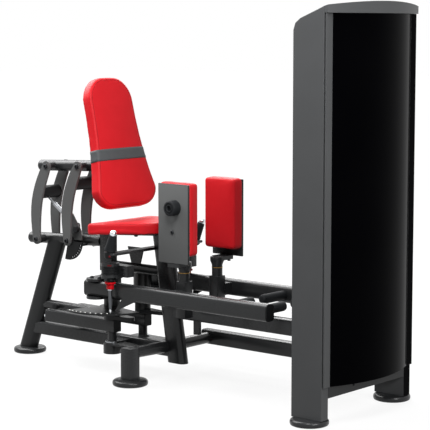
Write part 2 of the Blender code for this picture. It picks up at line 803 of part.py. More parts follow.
# Leg arm: beam, hub plates on the hip shaft, pad post, start-pin housing and gusset
def leg_arm():
    half = ARM_WIDE / 2.0
    top = ARM_Z + ARM_H
    beam = block((ARM_BACK_X, ARM_FRONT_X), (-ARM_Y - half, -ARM_Y + half), (ARM_Z, top), ARM_EDGE, 3, 0)
    hub_low = ARM_Z - HUB_PLATE_T
    hub_top = top + HUB_PLATE_T
    hub = rod((HIP_X, -HIP_Y, hub_low), (HIP_X, -HIP_Y, hub_top), HUB_R)
    outline = capsule((HIP_X, -HIP_Y), (ARM_BACK_X + HUB_END_R, -ARM_Y), HUB_PLATE_R, HUB_END_R)
    upper = plate([outline], top - SINK, hub_top)
    lower = plate([outline], hub_low, ARM_Z + SINK)
    side = SWIVEL_POST / 2.0
    post = block((SWIVEL_X - side, SWIVEL_X + side), (-SWIVEL_Y - side, -SWIVEL_Y + side),
                 (SWIVEL_POST_LOW, SWIVEL_POST_TOP), SWIVEL_POST_EDGE, 2, 2)
    tie = block((SWIVEL_X - side + SINK, SWIVEL_X + side - SINK), (-ARM_Y, -SWIVEL_Y),
                (ARM_Z + BAR_EDGE, top - BAR_EDGE))
    column = rod((SWIVEL_X, -SWIVEL_Y, SWIVEL_POST_TOP - SINK), (SWIVEL_X, -SWIVEL_Y, SWIVEL_JOINT_Z),
                 SWIVEL_R)
    neck = HOUSING_R - HOUSING_NECK
    profile = [(0.0, HOUSING_TOP), (HOUSING_R, HOUSING_TOP), (HOUSING_R, HOUSING_TOP - HOUSING_DISC),
               (neck, HOUSING_TOP - HOUSING_DISC), (neck, HOUSING_Z + HOUSING_DISC),
               (HOUSING_R, HOUSING_Z + HOUSING_DISC), (HOUSING_R, HOUSING_Z), (0.0, HOUSING_Z)]
    housing = turned(profile, (PIN_X, -PIN_Y, 0.0), SIDES)
    inner = -ARM_Y + half - SINK
    clamp = block((RISER_BACK_X, CLAMP_FRONT_X), (inner - CLAMP_WIDE, inner),
                  (HOUSING_Z, HOUSING_TOP - HOUSING_DISC), CLAMP_EDGE, 2, 2)
    riser = block((RISER_BACK_X, RISER_BACK_X + RISER_LONG), (-ARM_Y - half / 2.0, inner - SINK),
                  (top - BAR_EDGE, HOUSING_Z + SINK))
    bore_top = STEM_TOP + PIN_TRAVEL + SINK
    bore = rod((PIN_X, -PIN_Y, HOUSING_Z - SINK), (PIN_X, -PIN_Y, bore_top), STEM_R + SLACK)
    shaft = rod((HIP_X, -HIP_Y, hub_low - SINK), (HIP_X, -HIP_Y, hub_top + SINK), SHAFT_R + GAP)
    body = joined(beam, hub, upper, lower, post, tie, column, housing, clamp, riser, gusset())
    return cut(body, bore, shaft)


def gusset():
    """A sloping three-cornered plate from the arm's face down towards the start pin."""
    face = -ARM_Y - ARM_WIDE / 2.0 + 2.0 * SINK
    mid = ARM_Z + GUSSET_RISE
    corners = [(PIN_X + GUSSET_FROM, face, mid), (PIN_X + GUSSET_TO, face, mid),
               (PIN_X + GUSSET_TIP, -PIN_Y, GUSSET_TIP_Z)]
    shape = bmesh.new()
    upper = [shape.verts.new(spot) for spot in corners]
    lower = [shape.verts.new((spot[0], spot[1], spot[2] - GUSSET_T)) for spot in corners]
    shape.faces.new(upper)
    shape.faces.new(list(reversed(lower)))
    for i in range(3):
        j = (i + 1) % 3
        shape.faces.new((upper[i], lower[i], lower[j], upper[j]))
    return from_bmesh(shape)


NEAR_ARM = leg_arm()
part("far_arm", mirrored(NEAR_ARM), CHARCOAL, FAR_HIP)
part("near_arm", NEAR_ARM, CHARCOAL, NEAR_HIP)


def peg(x):
    """A rubber foot peg from an arm's inner face towards the middle."""
    level = ARM_Z + PEG_LIFT
    return rod((x, -ARM_Y + ARM_WIDE / 2.0 + GAP, level), (x, -PEG_GAP / 2.0, level), PEG_R, None, MEDIUM)


for place, peg_x in (("rear", PEG_REAR_X), ("front", PEG_FRONT_X)):
    part("near_peg_" + place, peg(peg_x), RUBBER, NEAR_HIP)
    part("far_peg_" + place, mirrored(peg(peg_x)), RUBBER, FAR_HIP)


def start_pin():
    """Rod, red pull collar and stem, turned in one piece, ending just above the cam."""
    tip = CAM_Z + CAM_T + SLACK
    top = COLLAR_Z + COLLAR_H
    band = top - COLLAR_BAND
    profile = [(0.0, STEM_TOP), (STEM_R, STEM_TOP), (STEM_R, top), (COLLAR_R, top),
               (COLLAR_R, band), (COLLAR_LOW_R, band - COLLAR_TAPER), (COLLAR_LOW_R, COLLAR_Z),
               (PIN_R, COLLAR_Z), (PIN_R, tip), (0.0, tip)]
    return turned(profile, (PIN_X, -PIN_Y, 0.0), MEDIUM)


NEAR_PIN = (PIN_X, -PIN_Y, COLLAR_Z)
FAR_PIN = (PIN_X, PIN_Y, COLLAR_Z)
PIN = start_pin()
part("far_start_pin", mirrored(PIN), RED_PLASTIC, FAR_PIN)
part("near_start_pin", PIN, RED_PLASTIC, NEAR_PIN)

NEAR_SWIVEL = (SWIVEL_X, -SWIVEL_Y, SWIVEL_JOINT_Z)
FAR_SWIVEL = (SWIVEL_X, SWIVEL_Y, SWIVEL_JOINT_Z)
PLATE_IN_Y = PLATE_OUT_Y - PLATE_T


# Thigh pad frame: swivel cup, yoke and back plate
def pad_frame():
    low = SWIVEL_JOINT_Z + GAP
    cup = turned([(0.0, YOKE_TOP - SINK), (YOKE_LONG / 2.0, YOKE_TOP - SINK),
                  (YOKE_LONG / 2.0, YOKE_TOP - YOKE_T), (SWIVEL_R, low + YOKE_T / 2.0),
                  (SWIVEL_R, low), (0.0, low)], (SWIVEL_X, -SWIVEL_Y, 0.0), SIDES)
    yoke = block((SWIVEL_X - YOKE_LONG / 2.0, SWIVEL_X + YOKE_LONG / 2.0), (-PLATE_OUT_Y + SINK, -SWIVEL_Y),
                 (YOKE_TOP - YOKE_T, YOKE_TOP))
    back = block((PLATE_X - PLATE_LONG / 2.0, PLATE_X + PLATE_LONG / 2.0), (-PLATE_OUT_Y, -PLATE_IN_Y),
                 (PLATE_Z, PLATE_TOP), PLATE_EDGE, 2)
    return joined(back, yoke, cup)


def rounded_box(centre_u, low_v, long, high_v, corner, count=4):
    """A rectangle outline with rounded corners, counter-clockwise."""
    right = centre_u + long / 2.0 - corner
    left = centre_u - long / 2.0 + corner
    quarter = math.pi / 2.0
    points = arc((right, low_v + corner), corner, -quarter, 0.0, count)
    points += arc((right, high_v - corner), corner, 0.0, quarter, count)
    points += arc((left, high_v - corner), corner, quarter, 2.0 * quarter, count)
    points += arc((left, low_v + corner), corner, 2.0 * quarter, 3.0 * quarter, count)
    return points


def soft_layers(thick, rounding):
    """Levels of a cushion's wall: tucked foot, full sides, and a rounded shoulder."""
    return [(TUCK, 0.0), (TUCK / 8.0, TUCK), (0.0, 0.4 * thick), (TUCK / 4.0, thick - rounding),
            (0.25 * rounding, thick - 0.45 * rounding), (0.6 * rounding, thick - 0.14 * rounding),
            (rounding, thick)]


NEAR_FRAME = pad_frame()
part("far_pad_frame", mirrored(NEAR_FRAME), GREY, FAR_SWIVEL)
part("near_pad_frame", NEAR_FRAME, GREY, NEAR_SWIVEL)


def thigh_pad():
    outline = rounded_box(-PLATE_X, PAD_Z, PAD_LONG, PAD_TOP, PAD_CORNER)
    frame = Matrix(((-1, 0, 0, 0), (0, 0, 1, 0), (0, 1, 0, 0), (0, 0, 0, 1)))
    seat = Matrix.Translation((0.0, -PLATE_IN_Y + GAP, 0.0))
    return cushion(outline, soft_layers(PAD_T - PAD_CROWN, PAD_ROUND), PAD_CROWN, seat @ frame)


THIGH_PAD = thigh_pad()
part("far_pad", mirrored(THIGH_PAD), RED, FAR_SWIVEL)
part("near_pad", THIGH_PAD, RED, NEAR_SWIVEL)

BUMP = rod((BUMPER_X, -PLATE_OUT_Y - GAP, BUMPER_Z), (BUMPER_X, -PLATE_OUT_Y - BUMPER_LONG, BUMPER_Z),
           BUMPER_R, BUMPER_R - BUMPER_TAPER)
CUP = rod((BUMPER_X, -PLATE_OUT_Y - BUMPER_LONG / 2.0, BUMPER_Z),
          (BUMPER_X, -PLATE_OUT_Y - BUMPER_LONG - SINK, BUMPER_Z), BUMPER_CUP_R)
part("near_bumper", cut(BUMP, CUP), RUBBER, NEAR_SWIVEL)


# Seat: upright with its beam, steel plate and cushion
def seat_outline():
    """Half widths taper to the front, where the corners are round."""
    taper = (SEAT_BACK_HALF - SEAT_FRONT_HALF) / (SEAT_FRONT_X - SEAT_BACK_X)
    quarter = math.pi / 2.0
    lean = math.atan(taper)
    side = []
    back = SEAT_BACK_CORNER
    front = SEAT_FRONT_CORNER
    side += arc((SEAT_FRONT_X - front, SEAT_FRONT_HALF - front), front, 0.0, quarter - lean, 8)
    side += arc((SEAT_BACK_X + back, SEAT_BACK_HALF - back), back, quarter - lean, 2.0 * quarter, 5)
    points = list(side)
    points += [(u, -v) for u, v in reversed(side)]
    return points


UPRIGHT_FRONT_X = UPRIGHT_BACK_X + UPRIGHT_LONG
HALF_UP = UPRIGHT_WIDE / 2.0
UP = block((UPRIGHT_BACK_X, UPRIGHT_FRONT_X), (-HALF_UP, HALF_UP), (UPRIGHT_Z, SEAT_Z), UPRIGHT_EDGE, 2, 2)
BEAM = rod((UPRIGHT_FRONT_X - SINK, 0.0, SEAT_BEAM_Z), (post_x(SEAT_BEAM_Z), 0.0, SEAT_BEAM_Z), SEAT_BEAM_R)
BRACE = plate([[(BRACE_X - BRACE_LOW / 2.0, SEAT_BEAM_Z), (BRACE_X + BRACE_LOW / 2.0, SEAT_BEAM_Z),
                (BRACE_X + BRACE_HIGH / 2.0, BRACE_TOP), (BRACE_X - BRACE_HIGH / 2.0, BRACE_TOP)]],
              -BRACE_T / 2.0, BRACE_T / 2.0, UPRIGHT_XZ)
UP = cut(joined(UP, BEAM, BRACE), seat_post(GAP))
part("seat_upright", trimmed(UP, SEAT_UNDER, TILT), CHARCOAL)

LEAN = Matrix.Translation((SEAT_BACK_X, 0.0, SEAT_Z)) @ Matrix.Rotation(-math.atan(SEAT_SLOPE), 4, "Y")
LEAN = LEAN @ Matrix.Translation((-SEAT_BACK_X, 0.0, 0.0))
PAN = [(SEAT_PLATE_BACK_X, -SEAT_PLATE_HALF), (SEAT_PLATE_FRONT_X, -SEAT_PLATE_HALF),
       (SEAT_PLATE_FRONT_X, SEAT_PLATE_HALF), (SEAT_PLATE_BACK_X, SEAT_PLATE_HALF)]
part("seat_plate", plate([PAN], -SEAT_PLATE_T - GAP, -GAP, LEAN), CHARCOAL)
part("seat_pad", cushion(seat_outline(), soft_layers(SEAT_T, SEAT_ROUND), SEAT_CROWN, LEAN), RED)

# Grip bar across the seat post with a hand grip at each end
HALF_GRIP = GRIP_BAR_LONG / 2.0
BAR = block((GRIP_BAR_X - HALF_GRIP, GRIP_BAR_X + HALF_GRIP), (-GRIP_BAR_HALF, GRIP_BAR_HALF),
            (GRIP_BAR_Z, GRIP_BAR_Z + GRIP_BAR_T), GRIP_BAR_EDGE, 1)
GRIP_AXIS = Vector(GRIP_TIP) - Vector(GRIP_FOOT)
GRIP_LONG = GRIP_AXIS.length
GRIP_AXIS.normalize()


def grip_point(distance, side):
    spot = Vector(GRIP_FOOT) + GRIP_AXIS * distance
    return (spot.x, side * spot.y, spot.z)


def grip_core(side):
    return rod(grip_point(-GRIP_CORE_LONG, side), grip_point(-GAP, side), GRIP_CORE_R)


part("grip_bar", cut(joined(BAR, grip_core(-1.0), grip_core(1.0)), seat_post(GAP),
                     lower_tube(TUBE_R + GAP, LOWER_TUBE_BACK_X, UPRIGHT_BACK_X)), CHARCOAL)
for label, hand in (("near", -1.0), ("far", 1.0)):
    grip = rod(grip_point(0.0, hand), grip_point(GRIP_LONG, hand), GRIP_R, GRIP_TIP_R, MEDIUM)
    part(label + "_grip", grip, RUBBER)

# Back rest linkage
FRONT_LOW = (LINK_LOW_X + LINK_SPACING, tube_z(LINK_LOW_X + LINK_SPACING))
REAR_LOW = (LINK_LOW_X, LINK_LOW_Z)


def link_spot(low, share, aside=0.0):
    """A point on a bowed link's middle line, or beside it."""
    length = math.hypot(LINK_RUN, LINK_RISE)
    across = (-LINK_RISE / length, LINK_RUN / length)
    reach = LINK_BOW * math.sin(math.pi * share) + aside
    return (low[0] + LINK_RUN * share + across[0] * reach, low[1] + LINK_RISE * share + across[1] * reach)


def link_outline(low):
    """A curved flat bar with round ends."""
    top = (low[0] + LINK_RUN, low[1] + LINK_RISE)
    ahead = math.atan2(LINK_RISE, LINK_RUN)
    steps = 10
    left = []
    right = []
    for i in range(1, steps):
        share = i / steps
        swell = math.sin(math.pi * share)
        if share > 0.5:
            swell = swell ** LINK_FULL
        half = LINK_END_R + (LINK_MID / 2.0 - LINK_END_R) * swell
        left.append(link_spot(low, share, half))
        right.append(link_spot(low, share, -half))
    quarter = math.pi / 2.0
    foot_arc = arc(low, LINK_END_R, ahead + quarter, ahead + 3.0 * quarter, 8)
    head_arc = arc(top, LINK_END_R, ahead - quarter, ahead + quarter, 8)
    return foot_arc + right + head_arc + list(reversed(left))


def link_pair(low, cross_at):
    """A near and a far bar, joined by a cross tube."""
    outline = link_outline(low)
    outer = LINK_INNER_Y + LINK_T
    near = plate([outline], LINK_INNER_Y, outer, UPRIGHT_XZ)
    far = plate([outline], -outer, -LINK_INNER_Y, UPRIGHT_XZ)
    spot = link_spot(low, cross_at)
    reach = LINK_INNER_Y + SINK
    tube = rod((spot[0], -reach, spot[1]), (spot[0], reach, spot[1]), LINK_CROSS_R)
    return joined(near, far, tube)


INDEX_X = FRONT_LOW[0] + INDEX_R * math.cos(INDEX_AT)
INDEX_Z = FRONT_LOW[1] + INDEX_R * math.sin(INDEX_AT)
SECTOR_IN_Y = LINK_INNER_Y + SINK - SECTOR_T
FRONT_PIVOT = (FRONT_LOW[0], 0.0, FRONT_LOW[1])
REAR_PIVOT = (REAR_LOW[0], 0.0, REAR_LOW[1])
TOP_PIVOT = (FRONT_LOW[0] + LINK_RUN, 0.0, FRONT_LOW[1] + LINK_RISE)
REAR_TOP = (REAR_LOW[0] + LINK_RUN, 0.0, REAR_LOW[1] + LINK_RISE)


def index_sector():
    """A fan under the front link with a row of holes about its lower pivot."""
    inner = LINK_BOSS_R + SECTOR_CLEAR
    edge = arc(FRONT_LOW, SECTOR_R, SECTOR_TO, SECTOR_FROM, 14)
    root = arc(FRONT_LOW, inner, SECTOR_FROM, SECTOR_TO, 10)
    holes = []
    for i in range(INDEX_HOLES):
        angle = INDEX_AT - INDEX_STEP * i
        holes.append(ring((FRONT_LOW[0] + INDEX_R * math.cos(angle),
                           FRONT_LOW[1] + INDEX_R * math.sin(angle)), INDEX_PIN_R + SLACK, 10))
    return plate([edge + root] + holes, SECTOR_IN_Y, SECTOR_IN_Y + SECTOR_T, UPRIGHT_XZ)


part("rear_links", link_pair(REAR_LOW, REAR_CROSS_AT), GREY, REAR_PIVOT)
part("front_links", joined(link_pair(FRONT_LOW, FRONT_CROSS_AT), index_sector()), GREY, FRONT_PIVOT)


def boss(spot):
    """A pivot boss across a link tube, just clear of the links."""
    reach = LINK_INNER_Y - GAP
    return rod((spot[0], -reach, spot[2]), (spot[0], reach, spot[2]), LINK_BOSS_R)


def gas_lug():
    """The cheek beside the gas spring's lower eye."""
    low = -GAS_Y - GAS_EYE_WIDE / 2.0 - GAP - LUG_PLATE
    outline = capsule((GAS_X, tube_z(GAS_X) + GAS_EYE_R), (GAS_X, GAS_Z), LUG_ROOT_R, GAS_EYE_R)
    return plate([outline], low, low + LUG_PLATE, UPRIGHT_XZ)


LOWER = trimmed(lower_tube(TUBE_R, LOWER_TUBE_BACK_X, UPRIGHT_BACK_X + SINK),
                Vector((UPRIGHT_BACK_X - GAP, 0.0, 0.0)), Vector((1.0, 0.0, 0.0)))
LOWER = joined(LOWER, boss(FRONT_PIVOT), boss(REAR_PIVOT), gas_lug())
INDEX_BORE = rod((INDEX_X, -LINK_INNER_Y, INDEX_Z), (INDEX_X, LINK_INNER_Y, INDEX_Z), INDEX_PIN_R + GAP)
part("lower_link_tube", cut(LOWER, INDEX_BORE), CHARCOAL)

INDEX_OUT = TUBE_R + GAP
INDEX_PIN = rod((INDEX_X, SLACK - SECTOR_IN_Y, INDEX_Z), (INDEX_X, INDEX_OUT + SINK, INDEX_Z),
                INDEX_PIN_R, None, COARSE)
INDEX_KNOB = rod((INDEX_X, INDEX_OUT, INDEX_Z), (INDEX_X, INDEX_OUT + INDEX_KNOB_LONG, INDEX_Z),
                 INDEX_KNOB_R, None, MEDIUM)
part("index_pin", joined(INDEX_PIN, INDEX_KNOB), RUBBER, (INDEX_X, 0.0, INDEX_Z))

# Gas spring between the lower tube and the rear links' cross tube
CROSS = link_spot(REAR_LOW, REAR_CROSS_AT)
GAS_AXIS = Vector((CROSS[0] - GAS_X, 0.0, CROSS[1] - GAS_DROP - GAS_Z))
GAS_REACH = GAS_AXIS.length
GAS_AXIS.normalize()


def gas_point(distance):
    return Vector((GAS_X, GAS_Y, GAS_Z)) + GAS_AXIS * distance


HALF_EYE = GAS_EYE_WIDE / 2.0
EYE = rod((GAS_X, GAS_Y - HALF_EYE, GAS_Z), (GAS_X, GAS_Y + HALF_EYE, GAS_Z), GAS_EYE_R, None, MEDIUM)
BARREL = rod(gas_point(GAS_EYE_R / 2.0), gas_point(GAS_LONG), GAS_R, None, MEDIUM)
BARREL_BORE = rod(gas_point(GAS_BORE_FROM), gas_point(GAS_LONG + SINK), GAS_ROD_R + GAP, None, COARSE)
part("gas_cylinder", cut(joined(EYE, BARREL), BARREL_BORE), CHROME, (GAS_X, GAS_Y, GAS_Z))
ROD_TIP = GAS_REACH - LINK_CROSS_R + GAS_ROD_PAST
part("gas_rod", rod(gas_point(GAS_ROD_FROM), gas_point(ROD_TIP), GAS_ROD_R, None, COARSE), CHROME,
     gas_point(ROD_TIP))


# Upper tube with the back rest's bracket, and the back pad
def upper_z(x):
    return TOP_PIVOT[2] + LINK_SLOPE * (x - TOP_PIVOT[0])


BACK_UP = Vector((BACK_TOP[0] - BACK_LOW[0], 0.0, BACK_TOP[1] - BACK_LOW[1]))
BACK_LONG = BACK_UP.length
BACK_UP.normalize()
BACK_OUT = Vector((BACK_UP.z, 0.0, -BACK_UP.x))
BACK_FRAME = Matrix(((0.0, BACK_UP.x, BACK_OUT.x, BACK_LOW[0]), (1.0, 0.0, 0.0, 0.0),
                     (0.0, BACK_UP.z, BACK_OUT.z, BACK_LOW[1]), (0.0, 0.0, 0.0, 1.0)))
HALF_BRACKET = BRACKET_WIDE / 2.0
BACK_REAR = -BACK_T - GAP
BRACKET = plate([[(-HALF_BRACKET, BRACKET_LOW), (HALF_BRACKET, BRACKET_LOW), (HALF_BRACKET, BRACKET_HIGH),
                  (-HALF_BRACKET, BRACKET_HIGH)]], BACK_REAR - BRACKET_T, BACK_REAR, BACK_FRAME)
UPPER = rod((UPPER_TUBE_BACK_X, 0.0, upper_z(UPPER_TUBE_BACK_X)),
            (UPPER_TUBE_FRONT_X, 0.0, upper_z(UPPER_TUBE_FRONT_X)), TUBE_R)
UPPER = trimmed(UPPER, BACK_FRAME @ Vector((0.0, 0.0, BACK_REAR - SINK)), BACK_OUT)
part("upper_tube", joined(UPPER, BRACKET, boss(TOP_PIVOT), boss(REAR_TOP)), CHARCOAL, TOP_PIVOT)


def back_outline():
    """A tapered pad: wide round foot, narrow round head."""
    low = BACK_LOW_CORNER
    high = BACK_TOP_CORNER
    quarter = math.pi / 2.0
    side = []
    for u, v in arc((BACK_LOW_HALF - low, low), low, -quarter, 0.0, 8):
        side.append((u, v + BACK_SAG * (u / BACK_LOW_HALF) ** 2 * (1.0 - v / low)))
    steps = 5
    for i in range(1, steps):
        share = i / steps
        level = low + (BACK_LONG - high - low) * share
        ease = 1.0 - (1.0 - share) ** BACK_TAPER
        side.append((BACK_LOW_HALF + (BACK_TOP_HALF - BACK_LOW_HALF) * ease, level))
    side += arc((BACK_TOP_HALF - high, BACK_LONG - high), high, 0.0, quarter, 8)
    points = list(side)
    points += [(-u, v) for u, v in reversed(side)]
    return points


part("back_pad", cushion(back_outline(), soft_layers(BACK_T - BACK_CROWN, BACK_ROUND), BACK_CROWN,
                         BACK_FRAME @ Matrix.Translation((0.0, 0.0, -BACK_T))), RED, TOP_PIVOT)


# Weight tower: posts with feet, bowed front panel, cap, shield, base and beams, hung from the posts' tops
TOWER_BACK_Z = TOWER_FRONT_Z - TOWER_BACK_DROP
TOWER_SHOULDER = (SHOULDER_X, TOWER_FRONT_Z - SHOULDER_DROP)
TOWER_BEND = (BEND_X, TOWER_FRONT_Z - BEND_DROP)
PANEL_TOP = TOWER_FRONT_Z - FASCIA_H
TOP_BEAM_Z = TOWER_FRONT_Z - TOP_BEAM_DROP


def tower_post():
    """A post with a sloping top, and the trim strip that frames the front panel."""
    half = TOWER_WIDE / 2.0
    low = FOOT_H + GAP
    outline = [(-TOWER_HALF_X, low), (TOWER_HALF_X, low), (TOWER_HALF_X, TOWER_FRONT_Z),
               TOWER_SHOULDER, TOWER_BEND, (-TOWER_HALF_X, TOWER_BACK_Z)]
    body = plate([outline], TOWER_Y - half, TOWER_Y + half, UPRIGHT_XZ)
    outer = -TOWER_Y - half + TRIM_INSET
    span = (PANEL_Z, PANEL_TOP - GAP)
    strip = block((TRIM_X, TRIM_FRONT_X), (outer, outer + TRIM_WIDE), span)
    web = block((TOWER_HALF_X - SINK, TRIM_X + SINK),
                (-TOWER_Y - TRIM_WEB / 2.0, -TOWER_Y + TRIM_WEB / 2.0), span)
    return joined(body, strip, web)


TOWER_IN_Y = TOWER_Y - TOWER_WIDE / 2.0
TOWER_OUT_Y = TOWER_Y + TOWER_WIDE / 2.0
NEAR_POST = tower_post()
part("far_tower_post", mirrored(NEAR_POST), CHARCOAL)
part("near_tower_post", NEAR_POST, CHARCOAL)
part("near_tower_foot", foot(0.0, -TOWER_Y), CHARCOAL)
part("far_tower_foot", foot(0.0, TOWER_Y), CHARCOAL)

PANEL_HALF = TOWER_OUT_Y - TRIM_INSET - TRIM_WIDE - GAP
BOW_STEPS = 16


def bowed(half, edge, apex, back):
    """A plan outline: bowed front, and a back that follows it or stands straight."""
    points = []
    for i in range(BOW_STEPS + 1):
        y = -half + 2.0 * half * i / BOW_STEPS
        points.append((bow(y, half, edge, apex), y))
    return points + back


PANEL_BACK = []
for i in range(BOW_STEPS + 1):
    across = PANEL_HALF - 2.0 * PANEL_HALF * i / BOW_STEPS
    PANEL_BACK.append((bow(across, PANEL_HALF, PANEL_EDGE_X, PANEL_APEX_X) - PANEL_T, across))
part("front_panel", plate([bowed(PANEL_HALF, PANEL_EDGE_X, PANEL_APEX_X, PANEL_BACK)],
                          PANEL_Z + GAP, PANEL_TOP - GAP), BLACK_GLOSS)


def tower_cap():
    """A bowed fascia under a sloping top that closes the space between the posts."""
    inner = TOWER_HALF_X + GAP
    back = [(inner, TOWER_OUT_Y), (inner, -TOWER_OUT_Y)]
    band = plate([bowed(TOWER_OUT_Y, CAP_EDGE_X, CAP_APEX_X, back)], PANEL_TOP,
                 TOWER_FRONT_Z + CAP_RISE * (CAP_APEX_X - TOWER_HALF_X) + SINK)
    slope = Vector((-CAP_RISE, 0.0, 1.0)).normalized()
    band = trimmed(band, Vector((TOWER_HALF_X, 0.0, TOWER_FRONT_Z)), slope)
    shoulder_x, shoulder_z = TOWER_SHOULDER
    lid = plate([[(-TOWER_HALF_X, TOWER_BACK_Z - LID_T), (shoulder_x, shoulder_z - LID_T),
                  (TRIM_X, PANEL_TOP + LID_T / 2.0), (TRIM_X, PANEL_TOP + LID_T), TOWER_SHOULDER,
                  (-TOWER_HALF_X, TOWER_BACK_Z)]], -TOWER_IN_Y + GAP, TOWER_IN_Y - GAP, UPRIGHT_XZ)
    return joined(band, lid)


part("tower_cap", tower_cap(), CHARCOAL)
SIDE_Y = TOWER_IN_Y - GAP
part("tower_base", block((BASE_BACK_X, TOWER_HALF_X), (-SIDE_Y, SIDE_Y), (BASE_Z, PANEL_Z - GAP)), CHARCOAL)
part("tower_rear_beam", block((REAR_BEAM_X, REAR_BEAM_X + REAR_BEAM_T), (-SIDE_Y, SIDE_Y),
                              (REAR_BEAM_Z, REAR_BEAM_Z + REAR_BEAM_H)), CHARCOAL)
part("tower_top_beam", block((-TOP_BEAM_HALF_X, TOP_BEAM_HALF_X), (-SIDE_Y, SIDE_Y),
                             (TOP_BEAM_Z, TOP_BEAM_Z + TOP_BEAM_H)), CHARCOAL)
SHIELD_TOP = TOP_BEAM_Z - GAP
SHEET = [(-SIDE_Y, SHIELD_Z), (SIDE_Y, SHIELD_Z), (SIDE_Y, SHIELD_TOP), (-SIDE_Y, SHIELD_TOP)]
SLOT = [(-SLOT_HALF, SLOT_Z), (SLOT_HALF, SLOT_Z), (SLOT_HALF, SLOT_TOP), (-SLOT_HALF, SLOT_TOP)]
SHIELD = plate([SHEET, SLOT], SHIELD_BACK_X, SHIELD_BACK_X + SHIELD_T, UPRIGHT_YZ)
part("rear_shield", SHIELD, BLACK_GLOSS)

# Guide rods, weight stack, its head and the selector pin
for label, hand in (("near", -1.0), ("far", 1.0)):
    guide = rod((0.0, hand * ROD_Y, PANEL_Z), (0.0, hand * ROD_Y, TOP_BEAM_Z - GAP), ROD_R, None, MEDIUM)
    part(label + "_guide_rod", guide, CHROME)


def rod_bores(low, high):
    bores = []
    for y in (-ROD_Y, ROD_Y):
        bores.append(rod((0.0, y, low), (0.0, y, high), ROD_R + SLACK, None, MEDIUM))
    return bores


STACK_Z = PANEL_Z
STACK_TOP = STACK_Z + STACK_PLATES * STACK_PLATE_H


def weight_stack():
    """Plates in one stack, with a groove under each."""
    rings = []
    for i in range(STACK_PLATES):
        low = STACK_Z + i * STACK_PLATE_H
        groove = low + STACK_PLATE_H - STACK_GROOVE_H
        rings += [(0.0, low), (0.0, groove)]
        if i < STACK_PLATES - 1:
            rings += [(STACK_GROOVE, groove), (STACK_GROOVE, low + STACK_PLATE_H)]
    shape = bmesh.new()
    loops = []
    for inset, level in rings:
        x = STACK_HALF_X - inset
        y = STACK_HALF_Y - inset
        corners = ((-x, -y, level), (x, -y, level), (x, y, level), (-x, y, level))
        loops.append([shape.verts.new(spot) for spot in corners])
    shape.faces.new(list(reversed(loops[0])))
    shape.faces.new(loops[-1])
    for lower, upper in zip(loops, loops[1:]):
        for i in range(4):
            j = (i + 1) % 4
            shape.faces.new((lower[i], lower[j], upper[j], upper[i]))
    return from_bmesh(shape)


SELECT_Z = STACK_Z + (SELECT_PLATE + 0.5) * STACK_PLATE_H
TOP_OF_STACK = STACK_TOP - STACK_GROOVE_H
STACK_STEM = rod((0.0, 0.0, STACK_Z - SINK), (0.0, 0.0, STACK_TOP), STEM_ROD_R + SLACK, None, MEDIUM)
SELECT_BORE = rod((-STACK_HALF_X - SINK, 0.0, SELECT_Z), (0.0, 0.0, SELECT_Z), SELECT_R + GAP, None, COARSE)
STACK = cut(weight_stack(), *rod_bores(STACK_Z - SINK, STACK_TOP), STACK_STEM, SELECT_BORE)
part("weight_stack", STACK, STEEL)
HEAD_Z = TOP_OF_STACK + GAP
HEAD = block((-STACK_HALF_X, STACK_HALF_X), (-STACK_HALF_Y, STACK_HALF_Y), (HEAD_Z, HEAD_Z + HEAD_H),
             HEAD_EDGE, 1)
HEAD_STEM = rod((0.0, 0.0, HEAD_Z - STEM_ROD_LONG), (0.0, 0.0, HEAD_Z + SINK), STEM_ROD_R, None, MEDIUM)
HEAD = cut(joined(HEAD, HEAD_STEM), *rod_bores(HEAD_Z - SINK, HEAD_Z + HEAD_H + SINK))
part("stack_head", HEAD, STEEL, (0.0, 0.0, HEAD_Z))
SELECT = rod((SELECT_TIP_X, 0.0, SELECT_Z), (SELECT_KNOB_X + SINK, 0.0, SELECT_Z), SELECT_R, None, COARSE)
SELECT_KNOB = rod((SELECT_KNOB_X + SELECT_KNOB_LONG, 0.0, SELECT_Z), (SELECT_KNOB_X, 0.0, SELECT_Z),
                  SELECT_KNOB_R, None, MEDIUM)
part("selector_pin", joined(SELECT, SELECT_KNOB), RED_PLASTIC, (SELECT_KNOB_X, 0.0, SELECT_Z))

bpy.data.collections.remove(CUTTERS)
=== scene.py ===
"""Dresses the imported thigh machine: finishes on its steel, stuffed vinyl pads, fittings, studio, camera.

Metres, +Z up, +X towards the weight tower, -Y towards the camera."""

import json
import math

import bmesh
import bpy
from mathutils import Matrix, Vector
from mathutils.bvhtree import BVHTree

